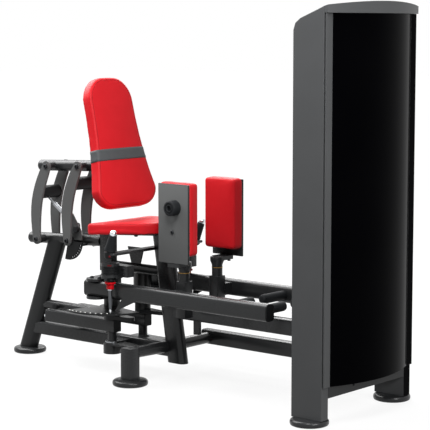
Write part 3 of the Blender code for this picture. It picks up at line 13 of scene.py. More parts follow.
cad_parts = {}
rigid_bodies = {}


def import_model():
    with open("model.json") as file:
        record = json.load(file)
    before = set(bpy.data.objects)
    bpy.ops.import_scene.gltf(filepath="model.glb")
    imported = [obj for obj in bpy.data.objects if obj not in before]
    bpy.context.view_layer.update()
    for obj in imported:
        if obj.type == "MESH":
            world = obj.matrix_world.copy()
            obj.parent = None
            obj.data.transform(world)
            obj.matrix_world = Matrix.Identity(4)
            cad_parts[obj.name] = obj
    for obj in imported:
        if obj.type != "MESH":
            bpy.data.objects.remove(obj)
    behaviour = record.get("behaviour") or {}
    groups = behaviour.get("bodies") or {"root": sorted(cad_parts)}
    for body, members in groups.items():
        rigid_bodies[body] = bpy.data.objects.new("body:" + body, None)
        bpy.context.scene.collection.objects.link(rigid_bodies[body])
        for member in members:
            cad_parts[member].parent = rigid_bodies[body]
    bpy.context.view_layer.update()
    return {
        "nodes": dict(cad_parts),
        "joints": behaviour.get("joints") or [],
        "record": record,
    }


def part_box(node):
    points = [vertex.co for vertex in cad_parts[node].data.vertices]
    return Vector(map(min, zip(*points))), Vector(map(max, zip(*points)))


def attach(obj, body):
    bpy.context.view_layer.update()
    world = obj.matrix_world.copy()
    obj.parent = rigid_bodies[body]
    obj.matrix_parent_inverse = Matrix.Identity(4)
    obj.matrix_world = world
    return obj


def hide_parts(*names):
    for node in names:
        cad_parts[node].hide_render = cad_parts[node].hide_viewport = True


for leftover in list(bpy.data.objects):
    bpy.data.objects.remove(leftover)

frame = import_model()
NODES = frame["nodes"]
PIVOT = {joint["name"]: Vector(joint["pos_m"]) for joint in frame["joints"] if joint.get("pos_m")}

# Camera, fitted to the photograph's 430 pixel square frame
FRAME_PX = 430.0
FOCAL_PX = 1600.0
HORIZON_PX = 185.0
SENSOR_MM = 36.0
CAMERA_AT = (4.5465, -5.148, 1.52)
CAMERA_DOWN = math.atan(HORIZON_PX / FOCAL_PX)
CAMERA_ROUND = math.radians(40.3)

# Edges of the steelwork are eased by this much, and facets flatter than the angle are shaded as curves
EASE = 0.0012
CURVED = math.radians(38.0)
# Points closer than this are one point
WELD = 0.00002
# A face or point looks along a direction when its normal has more than this much of it
FACING = 0.7

X = Vector((1.0, 0.0, 0.0))
Y = Vector((0.0, 1.0, 0.0))
Z = Vector((0.0, 0.0, 1.0))
# The machine's two sides, and which way along Y is outward there
SIDES = {"near": -1.0, "far": 1.0}


def on_side(spot, out):
    """A place given for the far side, on the side that is asked for."""
    return Vector((spot.x, spot.y * out, spot.z))


def linear(code):
    """An sRGB hex colour as the linear colour that shaders take."""
    values = []
    for i in (1, 3, 5):
        part = int(code[i:i + 2], 16) / 255.0
        values.append(part / 12.92 if part <= 0.04045 else ((part + 0.055) / 1.055) ** 2.4)
    return (*values, 1.0)


def per_metre(size_mm):
    """A texture scale whose features are about this many millimetres apart."""
    return 1000.0 / size_mm


def add(tree, kind, inputs, **settings):
    """Adds a node with its settings; each input is a value, or an output or node to link."""
    made = tree.nodes.new(kind)
    for key, value in settings.items():
        setattr(made, key, value)
    for key, value in inputs.items():
        socket = next(s for s in made.inputs if key in (s.identifier, s.name))
        if isinstance(value, bpy.types.Node):
            value = next(out for out in value.outputs if out.enabled)
        if isinstance(value, bpy.types.NodeSocket):
            tree.links.new(value, socket)
        else:
            socket.default_value = value
    return made


def noise(tree, where, size_mm, detail, roughness=0.5):
    """Adds a noise whose features are about this many millimetres apart."""
    return add(tree, "ShaderNodeTexNoise", {"Vector": where, "Scale": per_metre(size_mm), "Detail": detail,
                                            "Roughness": roughness})


def tinted(tree, share, dark, light):
    """Adds a mix of two hex colours, by the share of the second."""
    return add(tree, "ShaderNodeMix", {"Factor_Float": share, "A_Color": linear(dark),
                                       "B_Color": linear(light)}, data_type="RGBA")


def ranged(tree, value, low, high):
    """Adds a value between two others, by a share from zero to one."""
    return add(tree, "ShaderNodeMapRange", {"Value": value, "To Min": low, "To Max": high})


def blank(name):
    """A new material with an empty node tree, and the object's own coordinates in it."""
    made = bpy.data.materials.new(name)
    made.use_nodes = True
    made.node_tree.nodes.clear()
    where = add(made.node_tree, "ShaderNodeTexCoord", {}).outputs["Object"]
    return made, made.node_tree, where


def surfaced(tree, inputs):
    """Ends a material with a Principled surface."""
    shader = add(tree, "ShaderNodeBsdfPrincipled", inputs)
    add(tree, "ShaderNodeOutputMaterial", {"Surface": shader})


def powder_coat(name, dark, light, smooth, rough, shine):
    """Powder coat baked on steel: a fine pebble that breaks up highlights, and a faint cloud in its tone.
    The real pebble is under a millimetre; it is drawn at 3 mm so that it shows."""
    made, tree, where = blank(name)
    pebble = noise(tree, where, size_mm=3.0, detail=3.0, roughness=0.6)
    cloud = noise(tree, where, size_mm=160.0, detail=2.0)
    speck = add(tree, "ShaderNodeMix", {"Factor_Float": 0.35, "A_Float": cloud, "B_Float": pebble})
    tone = tinted(tree, speck, dark, light)
    sheen = ranged(tree, pebble, smooth, rough)
    grain = add(tree, "ShaderNodeBump", {"Height": pebble, "Strength": 0.16, "Distance": 0.0006})
    surfaced(tree, {"Base Color": tone, "Roughness": sheen, "Normal": grain, "IOR": 1.5,
                    "Specular IOR Level": shine})
    return made


def upholstery_vinyl(name, dark, light):
    """PVC upholstery pressed with a leather grain: soft satin shine, tiny cells, slight unevenness.
    The real cells are about a millimetre; they are drawn at 4 mm so that they show."""
    made, tree, where = blank(name)
    cells = add(tree, "ShaderNodeTexVoronoi", {"Vector": where, "Scale": per_metre(4.0)},
                feature="DISTANCE_TO_EDGE")
    crease = noise(tree, where, size_mm=55.0, detail=4.0, roughness=0.55)
    tone = tinted(tree, crease, dark, light)
    shine = ranged(tree, crease, 0.42, 0.54)
    grain = add(tree, "ShaderNodeBump", {"Height": cells, "Strength": 0.08, "Distance": 0.0008})
    soft = add(tree, "ShaderNodeBump",
               {"Height": crease, "Strength": 0.06, "Distance": 0.003, "Normal": grain})
    surfaced(tree, {"Base Color": tone, "Roughness": shine, "Normal": soft, "IOR": 1.5,
                    "Specular IOR Level": 0.15})
    return made


def moulded(name, dark, light, smooth, rough, pebble_mm, relief):
    """Moulded rubber or plastic: even colour with a fine tool texture and a few scuffs in its shine."""
    made, tree, where = blank(name)
    texture = noise(tree, where, pebble_mm, detail=2.0)
    scuff = noise(tree, where, size_mm=40.0, detail=5.0, roughness=0.7)
    tone = tinted(tree, scuff, dark, light)
    shine = ranged(tree, scuff, smooth, rough)
    skin = add(tree, "ShaderNodeBump", {"Height": texture, "Strength": relief, "Distance": 0.0005})
    surfaced(tree, {"Base Color": tone, "Roughness": shine, "Normal": skin, "IOR": 1.5,
                    "Specular IOR Level": 0.12})
    return made


def bright_metal(name, dark, light, smooth, rough, streak_mm):
    """Plated or turned metal: bright, with a faint wipe in its polish that runs round it."""
    made, tree, where = blank(name)
    drawn = add(tree, "ShaderNodeMapping", {"Vector": where, "Scale": (1.0, 1.0, 12.0)})
    wipe = noise(tree, drawn, streak_mm, detail=3.0)
    tone = tinted(tree, wipe, dark, light)
    shine = ranged(tree, wipe, smooth, rough)
    surfaced(tree, {"Base Color": tone, "Roughness": shine, "Metallic": 1.0})
    return made


def smoked_acrylic(name, dark, light):
    """Cast acrylic sheet, dyed black: deep colour under a polished face with the faintest ripple."""
    made, tree, where = blank(name)
    ripple = noise(tree, where, size_mm=240.0, detail=1.0)
    tone = tinted(tree, ripple, dark, light)
    polish = ranged(tree, ripple, 0.10, 0.16)
    wave = add(tree, "ShaderNodeBump", {"Height": ripple, "Strength": 0.04, "Distance": 0.002})
    surfaced(tree, {"Base Color": tone, "Roughness": polish, "Normal": wave, "IOR": 1.49,
                    "Specular IOR Level": 0.01})
    return made


CHARCOAL = powder_coat("charcoal_powder_coat", "#1e1f20", "#2a2b2c", 0.22, 0.32, 0.24)
GRAPHITE = powder_coat("graphite_powder_coat", "#3f4041", "#4a4b4c", 0.34, 0.46, 0.15)
GREY = powder_coat("grey_powder_coat", "#585959", "#646565", 0.46, 0.60, 0.12)
# The darker steel coat: the cams' own finish, and painted shade on the tower base and the rear leg
DARK_STEEL_AND_SHADE = powder_coat("dark_steel_and_painted_shade", "#131415", "#1c1d1e", 0.28, 0.40, 0.18)
CAST_IRON = powder_coat("painted_cast_iron", "#262627", "#363637", 0.55, 0.75, 0.20)
RED_VINYL = upholstery_vinyl("red_upholstery_vinyl", "#c0161e", "#cb2028")
WELT_VINYL = upholstery_vinyl("red_vinyl_welt", "#860d14", "#941319")
GREY_VINYL = upholstery_vinyl("grey_upholstery_vinyl", "#454849", "#525557")
RED_ABS = moulded("red_abs_moulding", "#b80d17", "#c8141e", 0.26, 0.38, 2.0, 0.05)
RUBBER = moulded("black_moulded_rubber", "#17181a", "#222426", 0.55, 0.75, 2.5, 0.25)
NYLON = moulded("black_nylon_moulding", "#101112", "#191a1b", 0.42, 0.58, 2.0, 0.15)
DIM_RED = moulded("dark_red_lens", "#4e0d11", "#601217", 0.20, 0.32, 2.0, 0.05)
WHITE_PAINT = moulded("white_mark_paint", "#d8d8d4", "#ececea", 0.50, 0.65, 2.0, 0.05)
CHROME = bright_metal("bright_chrome_plate", "#c9ccd0", "#e4e6e8", 0.07, 0.16, 60.0)
SATIN = bright_metal("satin_nickel_plate", "#8d8f93", "#a9abae", 0.28, 0.40, 30.0)
ZINC = bright_metal("zinc_plated_steel", "#8f9296", "#b4b7ba", 0.22, 0.36, 30.0)
GROUND = bright_metal("ground_steel_rod", "#484a4d", "#606265", 0.24, 0.36, 25.0)
OXIDE = bright_metal("black_oxide_steel", "#1f2022", "#303133", 0.30, 0.45, 20.0)
BRONZE = bright_metal("bronze_bushing", "#9a7434", "#c39a52", 0.25, 0.38, 15.0)
ACRYLIC = smoked_acrylic("smoked_acrylic_sheet", "#000001", "#020203")

SLOT_LOOKS = {
    "charcoal_powder_coat": CHARCOAL,
    "grey_powder_coat": GREY,
    "dark_steel": DARK_STEEL_AND_SHADE,
    "cast_iron_plates": CAST_IRON,
    "chrome_plate": CHROME,
    "red_vinyl": RED_VINYL,
    "red_plastic": RED_ABS,
    "black_rubber": RUBBER,
    "black_gloss_plastic": ACRYLIC,
}

# Steelwork with another finish than its slot's; the tower base and the rear leg get the darker steel coat
# as painted shade
OTHER_LOOKS = {
    "gas_cylinder": SATIN,
    "gas_rod": SATIN,
    "near_tower_post": GRAPHITE,
    "far_tower_post": GRAPHITE,
    "tower_cap": GRAPHITE,
    # painted shade: a darker coat on the tower base and the rear leg, where they stand in shade
    "tower_base": DARK_STEEL_AND_SHADE,
    "rear_leg": DARK_STEEL_AND_SHADE,
}


def shown(name, shape):
    """Ends a mesh being built and puts it in the scene as an object."""
    bmesh.ops.recalc_face_normals(shape, faces=shape.faces)
    mesh = bpy.data.meshes.new(name)
    shape.to_mesh(mesh)
    shape.free()
    made = bpy.data.objects.new(name, mesh)
    bpy.context.scene.collection.objects.link(made)
    return made


def eased(thing, width, steps=2):
    """Rounds an object's hard edges a little and shades its flatter facets as curves."""
    thing.data.shade_smooth()
    join = thing.modifiers.new("join", "WELD")
    join.merge_threshold = WELD
    ease = thing.modifiers.new("ease", "BEVEL")
    ease.width = width
    ease.segments = steps
    ease.limit_method = "ANGLE"
    ease.angle_limit = CURVED
    ease.harden_normals = True
    return thing


def dressed(thing, look, body, stands_for=()):
    """Gives a piece its material and the body that it moves with, and hides the nodes that it stands for.
    """
    thing.data.materials.clear()
    thing.data.materials.append(look)
    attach(thing, body)
    if stands_for:
        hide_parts(*stands_for)
    return thing


def turned(name, profile, places, axis, ease=0.0008, sides=40, ring=False):
    """Lathe shapes, one at each place. The profile is radius and distance along the axis, from end to end
    or round a closed ring."""
    shape = bmesh.new()
    lie = Vector(axis).to_track_quat("Z", "Y").to_matrix().to_4x4()
    for place in places:
        put = Matrix.Translation(place) @ lie
        loops = []
        for radius, along in profile:
            spots = []
            for i in range(sides if radius > WELD else 1):
                turn = 2.0 * math.pi * i / sides
                spot = Vector((radius * math.cos(turn), radius * math.sin(turn), along))
                spots.append(shape.verts.new(put @ spot))
            loops.append(spots)
        pairs = list(zip(loops, loops[1:]))
        if ring:
            pairs.append((loops[-1], loops[0]))
        for lower, upper in pairs:
            for i in range(sides):
                j = (i + 1) % sides
                spots = [lower[i % len(lower)], lower[j % len(lower)],
                         upper[j % len(upper)], upper[i % len(upper)]]
                shape.faces.new(list(dict.fromkeys(spots)))
    return eased(shown(name, shape), ease)


def rounded(wide, tall, corner, steps=4):
    """A rectangle's outline about its middle, with rounded corners."""
    points = []
    for k, (u, v) in enumerate(((1.0, 1.0), (-1.0, 1.0), (-1.0, -1.0), (1.0, -1.0))):
        for i in range(steps + 1):
            turn = math.pi / 2.0 * (k + i / steps)
            points.append((u * (wide / 2.0 - corner) + corner * math.cos(turn),
                           v * (tall / 2.0 - corner) + corner * math.sin(turn)))
    return points


def slab(name, outline, thick, at, out, ease=0.0015):
    """A flat plate with rounded edges that stands out from a face: its outline is across and up."""
    out = Vector(out).normalized()
    across = Z.cross(out).normalized()
    rise = out.cross(across)
    shape = bmesh.new()
    loops = []
    for depth in (0.0, thick):
        level = Vector(at) + out * depth
        loops.append([shape.verts.new(level + across * u + rise * v) for u, v in outline])
    for loop in loops:
        shape.faces.new(loop)
    for i in range(len(outline)):
        j = (i + 1) % len(outline)
        shape.faces.new((loops[0][i], loops[0][j], loops[1][j], loops[1][i]))
    return eased(shown(name, shape), ease)


def centre(node):
    """The middle of a node's box."""
    low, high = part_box(node)
    return (Vector(low) + Vector(high)) / 2.0


def repainted(node, look, chosen):
    """Gives some faces of a node another finish; they are picked by their middle and their normal."""
    mesh = NODES[node].data
    mesh.materials.append(look)
    for face in mesh.polygons:
        if chosen(face.center, face.normal):
            face.material_index = len(mesh.materials) - 1


# Steelwork carried over from the frame, each node in its slot's finish or its own; the darker coat on the
# tower base and the rear leg is painted shade
for entry in frame["record"]["subparts"]:
    steel = NODES[entry["node"]]
    steel.data.materials.clear()
    steel.data.materials.append(OTHER_LOOKS.get(entry["node"], SLOT_LOOKS[entry["material_slot"]]))
    if "custom_normal" in steel.data.attributes:
        steel.data.attributes.remove(steel.data.attributes["custom_normal"])
    eased(steel, EASE)

# Links: black cross tubes, and a black index sector on the near front bar
LINK_OUT = 0.067
CROSS_TUBE_OUT = 0.042
SECTOR_OUT = 0.0605
SECTOR_ROOT = 0.022
SECTOR_TOP = 0.005
LINK_FOOT = PIVOT["front_link_hinge"]


def on_cross_tube(spot, normal):
    """Whether a face of the links is on a tube between their bars."""
    return abs(spot.y) < CROSS_TUBE_OUT


def on_sector(spot, normal):
    """Whether a face of the front links is on the index sector."""
    arm = spot - LINK_FOOT
    return arm.z < SECTOR_TOP and -SECTOR_OUT < spot.y < 0.0 and math.hypot(arm.x, arm.z) > SECTOR_ROOT


repainted("rear_links", NYLON, on_cross_tube)
repainted("front_links", NYLON, on_cross_tube)
repainted("front_links", NYLON, on_sector)

# Thigh pad frames: grey sheet on the outer face, charcoal behind it
PLATE_OUT = 0.182
PLATE_SKIN = 0.0001


def behind_plate(spot, normal):
    """Whether a face of a thigh pad's frame is behind the sheet's outer face."""
    return abs(spot.y) < PLATE_OUT - PLATE_SKIN


for side in SIDES:
    repainted(side + "_pad_frame", CHARCOAL, behind_plate)

# Far tower post: black in front, like the panel beside it
repainted("far_tower_post", ACRYLIC, lambda spot, normal: normal.x > FACING)

# Cushions: how far a solid is drawn in before it is blown up, the mesh, pressure and steps of the cloth,
# how far it may swell, and how much of a point's unevenness a smoothing takes away
PAD_DRAWN_IN = 0.0015
PAD_VOXEL = 0.005
PAD_PRESSURE = 3.0
PAD_STEPS = 20
PAD_SWELL = 0.0010
PAD_EVEN = 0.5


def final_mesh(thing):
    """A piece's mesh with its modifiers, as it shows."""
    return bpy.data.meshes.new_from_object(thing.evaluated_get(bpy.context.evaluated_depsgraph_get()))


def baked(thing):
    """Applies an object's modifiers to its mesh."""
    shape = final_mesh(thing)
    thing.modifiers.clear()
    thing.data = shape


def smoothed(thing):
    """Evens out a mesh's points."""
    even = thing.modifiers.new("even", "SMOOTH")
    even.factor = PAD_EVEN
    even.iterations = 1
    baked(thing)


def stuffed(name, node, body, rests, formed):
    """A pad blown up by cloth pressure from a slightly smaller copy of its solid, flat where it rests.
    The function given moves each point of the copy to where the upholstered pad has it."""
    shape = bmesh.new()
    shape.from_mesh(NODES[node].data)
    bmesh.ops.remove_doubles(shape, verts=shape.verts, dist=WELD)
    bmesh.ops.recalc_face_normals(shape, faces=shape.faces)
    shape.normal_update()
    for spot in shape.verts:
        inward = spot.normal - rests * max(spot.normal.dot(rests), 0.0)
        spot.co -= inward * PAD_DRAWN_IN
    pad = shown(name, shape)
    remesh = pad.modifiers.new("remesh", "REMESH")
    remesh.mode = "VOXEL"
    remesh.voxel_size = PAD_VOXEL
    baked(pad)
    for spot in pad.data.vertices:
        spot.co = formed(spot.co)
    smoothed(pad)
    start = [spot.co.copy() for spot in pad.data.vertices]
    resting = [spot.index for spot in pad.data.vertices if spot.normal.dot(rests) > FACING]
    held = pad.vertex_groups.new(name="held")
    held.add(resting, 1.0, "REPLACE")
    cloth = pad.modifiers.new("cloth", "CLOTH")
    cloth.settings.use_pressure = True
    cloth.settings.uniform_pressure_force = PAD_PRESSURE
    cloth.settings.vertex_group_mass = "held"
    cloth.settings.effector_weights.gravity = 0.0
    cloth.point_cache.frame_end = PAD_STEPS
    for step in range(1, PAD_STEPS + 1):
        bpy.context.scene.frame_set(step)
    baked(pad)
    bpy.context.scene.frame_set(1)
    for spot, was in zip(pad.data.vertices, start):
        moved = spot.co - was
        if moved.length > PAD_SWELL:
            spot.co = was + moved.normalized() * PAD_SWELL
    smoothed(pad)
    pad.vertex_groups.clear()
    pad.data.shade_smooth()
    finer = pad.modifiers.new("finer", "SUBSURF")
    finer.levels = 1
    finer.render_levels = 1
    return dressed(pad, RED_VINYL, body, (node,))


# Back pad: where its front face meets its lower edge, its own axes and its thickness
BACK_LOW = Vector((-0.2965, 0.0, 0.740))
BACK_UP = Vector((-0.139, 0.0, 0.564)).normalized()
BACK_FRONT = Y.cross(BACK_UP)
BACK_T = 0.056
# Seat pad: where its underside meets its rear edge, its own upward axis and its thickness
SEAT_CORNER = Vector((-0.3855, 0.0, 0.627))
SEAT_UP = Vector((-0.068, 0.0, 1.0)).normalized()
SEAT_T = 0.050

# Stuffing spreads each pad over its board by these shares, and arches the upper edge of the back pad
BACK_SPREAD = Vector((1.0, 1.07, 1.0))
SEAT_SPREAD = Vector((1.02, 1.02, 1.0))
THIGH_SPREAD = Vector((1.05, 1.0, 1.0))
ARCH = 0.013
ARCH_HALF = 0.14
ARCH_FROM = 0.40
ARCH_TO = 0.57


def spread_over(node, share):
    """A function that spreads points from the middle of a node."""
    middle = centre(node)
    return lambda spot: middle + (spot - middle) * share


def back_form(spot):
    """The back pad's points, spread to its sides and arched at the top."""
    rise = min(max(((spot - BACK_LOW).dot(BACK_UP) - ARCH_FROM) / (ARCH_TO - ARCH_FROM), 0.0), 1.0)
    arch = ARCH * rise * rise * (1.0 - (spot.y / ARCH_HALF) ** 2)
    return spot * BACK_SPREAD + BACK_UP * arch


back_cushion = stuffed("back_cushion", "back_pad", "back_rest", -BACK_FRONT, back_form)
seat_cushion = stuffed("seat_cushion", "seat_pad", "frame", -SEAT_UP, spread_over("seat_pad", SEAT_SPREAD))
for side, out in SIDES.items():
    stuffed(side + "_thigh_cushion", side + "_pad", side + "_thigh", Y * out,
            spread_over(side + "_pad", THIGH_SPREAD))


def skin_of(thing):
    """A piece's surface, to cast lines at."""
    mesh = final_mesh(thing)
    spots = [spot.co for spot in mesh.vertices]
    return BVHTree.FromPolygons(spots, [list(face.vertices) for face in mesh.polygons])


def girth(thing, point, normal):
    """The closed line where a plane cuts a piece, as points in order."""
    shape = bmesh.new()
    shape.from_mesh(final_mesh(thing))
    cut = bmesh.ops.bisect_plane(shape, geom=shape.verts[:] + shape.edges[:] + shape.faces[:],
                                 plane_co=point, plane_no=normal)["geom_cut"]
    edges = {edge for edge in cut if isinstance(edge, bmesh.types.BMEdge)}
    here = min(edges, key=lambda edge: edge.index).verts[0]
    loop = []
    while True:
        loop.append(here.co.copy())
        edge = next((e for e in here.link_edges if e in edges), None)
        if edge is None:
            break
        edges.discard(edge)
        here = edge.other_vert(here)
    shape.free()
    return loop


def spaced(line, count):
    """Points evenly spaced along a line, with both its ends."""
    lengths = [0.0]
    for a, b in zip(line, line[1:]):
        lengths.append(lengths[-1] + (b - a).length)
    spots = []
    k = 0
    for i in range(count):
        want = lengths[-1] * i / (count - 1)
        while lengths[k + 1] < want and k + 2 < len(lengths):
            k += 1
        share = (want - lengths[k]) / max(lengths[k + 1] - lengths[k], WELD)
        spots.append(line[k].lerp(line[k + 1], share))
    return spots


def bead(name, spots, radius, sides=8):
    """A closed round bead through a loop of points."""
    shape = bmesh.new()
    rings = []
    count = len(spots)
    middle = sum(spots, Vector()) / count
    for i, spot in enumerate(spots):
        ahead = (spots[(i + 1) % count] - spots[i - 1]).normalized()
        across = (spot - middle).cross(ahead).normalized()
        outward = ahead.cross(across)
        ring = []
        for k in range(sides):
            turn = 2.0 * math.pi * k / sides
            way = across * math.cos(turn) + outward * math.sin(turn)
            ring.append(shape.verts.new(spot + way * radius))
        rings.append(ring)
    for i in range(count):
        one, two = rings[i], rings[(i + 1) % count]
        for k in range(sides):
            m = (k + 1) % sides
            shape.faces.new((one[k], one[m], two[m], two[k]))
    made = shown(name, shape)
    made.data.shade_smooth()
    return made


# Seams sewn a little inside the edge of a pad's face
SEAM_R = 0.0010
SEAM_POINTS = 220
BACK_SEAM_IN = 0.013
SEAT_SEAM_IN = 0.004


def seam(thing, middle, normal, inset):
    """A loop on a pad's face, at one distance inside the pad's outline."""
    skin = skin_of(thing)
    outline = spaced(girth(thing, middle, normal), SEAM_POINTS)[:-1]
    heart = sum(outline, Vector()) / len(outline)
    spots = []
    for i, spot in enumerate(outline):
        ahead = outline[(i + 1) % len(outline)] - outline[i - 1]
        inward = normal.cross(ahead).normalized()
        inward *= math.copysign(inset, inward.dot(heart - spot))
        spots.append(skin.ray_cast(spot + inward + normal, -normal)[0])
    return spots


back_seam = seam(back_cushion, BACK_LOW - BACK_FRONT * (BACK_T / 2.0), BACK_FRONT, BACK_SEAM_IN)
dressed(bead("back_welt", back_seam, SEAM_R), WELT_VINYL, "back_rest")
seat_seam = seam(seat_cushion, SEAT_CORNER + SEAT_UP * (SEAT_T / 2.0), SEAT_UP, SEAT_SEAM_IN)
dressed(bead("seat_welt", seat_seam, SEAM_R), WELT_VINYL, "frame")

# Grey band round the back pad, from one height to the other along the pad, over its front and sides
BAND_LOW = 0.217
BAND_HIGH = 0.268
BAND_ROWS = 6
BAND_COLUMNS = 96
BAND_T = 0.0016
BAND_LIFT = 0.0003
BAND_END = 0.004


def band():
    """A strip of vinyl laid on the back pad's skin, from one rear edge round the front to the other."""
    skin = skin_of(back_cushion)
    limit = (BACK_LOW - BACK_FRONT * (BACK_T - BAND_END)).dot(BACK_FRONT)
    shape = bmesh.new()
    rows = []
    for r in range(BAND_ROWS + 1):
        level = BACK_LOW + BACK_UP * (BAND_LOW + (BAND_HIGH - BAND_LOW) * r / BAND_ROWS)
        loop = girth(back_cushion, level, BACK_UP)[:-1]
        rear = min(range(len(loop)), key=lambda i: loop[i].dot(BACK_FRONT) + abs(loop[i].y))
        loop = loop[rear:] + loop[:rear]
        line = [spot for spot in loop if spot.dot(BACK_FRONT) > limit]
        if line[0].y > line[-1].y:
            line.reverse()
        row = []
        for spot in spaced(line, BAND_COLUMNS + 1):
            row.append(shape.verts.new(spot + skin.find_nearest(spot)[1] * BAND_LIFT))
        rows.append(row)
    for r in range(BAND_ROWS):
        for c in range(BAND_COLUMNS):
            shape.faces.new((rows[r][c], rows[r][c + 1], rows[r + 1][c + 1], rows[r + 1][c]))
    made = shown("back_band", shape)
    thick = made.modifiers.new("thick", "SOLIDIFY")
    thick.thickness = BAND_T
    thick.offset = 1.0
    made.data.shade_smooth()
    return made


dressed(band(), GREY_VINYL, "back_rest")

# Feet: levelling discs with a rounded rim
FOOT_R = 0.077
FOOT_H = 0.026
FOOT = ((0.0, 0.0), (0.068, 0.0), (0.0745, 0.003), (FOOT_R, 0.009), (FOOT_R, 0.015), (0.0755, 0.020),
        (0.071, 0.0243), (0.064, FOOT_H), (0.0, FOOT_H))
for node in ("rear_foot", "front_foot", "near_tower_foot", "far_tower_foot"):
    spot = centre(node)
    disc = turned(node + "_disc", FOOT, [(spot.x, spot.y, 0.0)], Z, ease=0.0006, sides=64)
    dressed(disc, CHARCOAL, "frame", (node,))

# Foot pegs: rubber sleeves with a grooved collar at the arm and a rounded end
PEG_R = 0.0205
PEG_NECK_R = 0.0190
PEG_COLLAR = ((0.0, 0.0), (PEG_R, 0.0), (PEG_R, 0.007), (PEG_NECK_R, 0.0085), (PEG_NECK_R, 0.0105),
              (PEG_R, 0.012))
PEG_END = ((PEG_R, 0.012), (0.0189, 0.006), (0.0150, 0.0015), (0.0105, 0.0), (0.0, 0.0))
for side, out in SIDES.items():
    for place in ("rear", "front"):
        node = side + "_peg_" + place
        low, high = (Vector(corner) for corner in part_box(node))
        long = high.y - low.y
        spot = centre(node)
        root = Vector((spot.x, high.y if out > 0.0 else low.y, spot.z))
        sleeve = PEG_COLLAR + tuple((radius, long - short) for radius, short in PEG_END)
        dressed(turned(node + "_sleeve", sleeve, [root], -Y * out),
                RUBBER, side + "_leg_arm", (node,))

# Start pins: a dark stem out of the housing, a red collar with a flat band, a washer, and a steel rod with
# a bright tip
COLLAR_Z = 0.413
COLLAR_TOP = 0.444
STEM_TOP = 0.474
PULL_BORE = 0.006
PULL_GAP = 0.0002
COLLAR = ((PULL_BORE, COLLAR_Z), (0.0150, COLLAR_Z), (0.0158, COLLAR_Z + 0.002),
          (0.0165, COLLAR_TOP - 0.012), (0.0200, COLLAR_TOP - 0.009), (0.0238, COLLAR_TOP - 0.0075),
          (0.0240, COLLAR_TOP - 0.002), (0.0225, COLLAR_TOP), (PULL_BORE, COLLAR_TOP))
STEM = ((0.0, COLLAR_TOP + PULL_GAP), (0.0160, COLLAR_TOP + PULL_GAP), (0.0190, COLLAR_TOP + 0.003),
        (0.0190, COLLAR_TOP + 0.010), (0.0175, COLLAR_TOP + 0.012), (0.0175, COLLAR_TOP + 0.016),
        (0.0190, COLLAR_TOP + 0.018), (0.0190, STEM_TOP), (0.0, STEM_TOP))
PULL_WASHER_LOW = COLLAR_Z - 0.006
PULL_WASHER = ((PULL_BORE, PULL_WASHER_LOW), (0.0110, PULL_WASHER_LOW), (0.0110, COLLAR_Z - PULL_GAP),
               (PULL_BORE, COLLAR_Z - PULL_GAP))
ROD_TOP = 0.4067
TIP_LONG = 0.018
for side in SIDES:
    node = side + "_start_pin"
    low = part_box(node)[0][2]
    middle = centre(node)
    spot = [(middle.x, middle.y, 0.0)]
    body = side + "_latch"
    dressed(turned(side + "_pull_collar", COLLAR, spot, Z, ease=0.0006, sides=48, ring=True),
            RED_ABS, body, (node,))
    dressed(turned(side + "_pull_stem", STEM, spot, Z), NYLON, body)
    dressed(turned(side + "_pull_washer", PULL_WASHER, spot, Z, ease=0.0006, ring=True),
            ZINC, body)
    rod = ((0.0, low + TIP_LONG), (0.0062, low + TIP_LONG), (0.0080, low + TIP_LONG + 0.003),
           (0.0080, ROD_TOP), (0.0, ROD_TOP))
    dressed(turned(side + "_pull_rod", rod, spot, Z), GROUND, body)
    tip_top = low + TIP_LONG - PULL_GAP
    tip = ((0.0, low), (0.0035, low), (0.0058, low + 0.004), (0.0058, tip_top), (0.0, tip_top))
    dressed(turned(side + "_pull_tip", tip, spot, Z), CHROME, body)

# Bumper on the near pad's plate: a drum with a grooved flat face and a cupped hub
BUMPER = ((0.0, 0.0), (0.0320, 0.0), (0.0325, 0.003), (0.0325, 0.030), (0.0310, 0.0375), (0.0285, 0.0405),
          (0.0250, 0.0415), (0.0225, 0.0415), (0.0215, 0.0375), (0.0175, 0.0375), (0.0165, 0.0415),
          (0.0125, 0.0415), (0.0110, 0.0385), (0.0095, 0.0300), (0.0, 0.0300))
bump = centre("near_bumper")
root = (bump.x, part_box("near_bumper")[1][1], bump.z)
dressed(turned("near_bumper_drum", BUMPER, [root], -Y, ease=0.0005, sides=56),
        RUBBER, "near_thigh", ("near_bumper",))

# Marks on round fittings look ahead and outward, by these shares
MARK_AHEAD = 0.647
MARK_OUT = 0.763


def mark_face(out):
    """The direction that a mark looks in, on the side that is asked for."""
    return (X * MARK_AHEAD + Y * MARK_OUT * out).normalized()


# Hand grips: a tapered rubber sleeve with ribs, a bright ball, and a socket under the bar with a red stud
GRIP_FOOT = Vector((-0.1722, 0.2756, 0.587))
GRIP_TIP = Vector((-0.1345, 0.2910, 0.675))
GRIP_LOW = Vector((-0.1762, 0.2736, 0.564))
SLEEVE_COLLAR = ((0.0, 0.0), (0.0245, 0.0), (0.0255, 0.002), (0.0255, 0.006), (0.0240, 0.0085))
SLEEVE_LONG = 0.0735
SLEEVE_R = 0.0236
SLEEVE_TAPER = 0.0010
SLEEVE_RIBS = 7
SLEEVE_RIB_FROM = 0.012
SLEEVE_RIB_STEP = 0.0078
BALL_R = 0.0150
BALL_NECK = 0.16
BALL_STEPS = 12
GRIP_SOCKET = ((0.0, -0.012), (0.0200, -0.012), (0.0240, -0.009), (0.0255, 0.0), (0.0255, 0.013),
               (0.0235, 0.0155), (0.0, 0.0155))
GRIP_STUD = ((0.0, 0.0), (0.0050, 0.0), (0.0050, 0.0015), (0.0030, 0.0028), (0.0, 0.0028))
STUD_DROP = 0.003
STUD_OUT = 0.0245
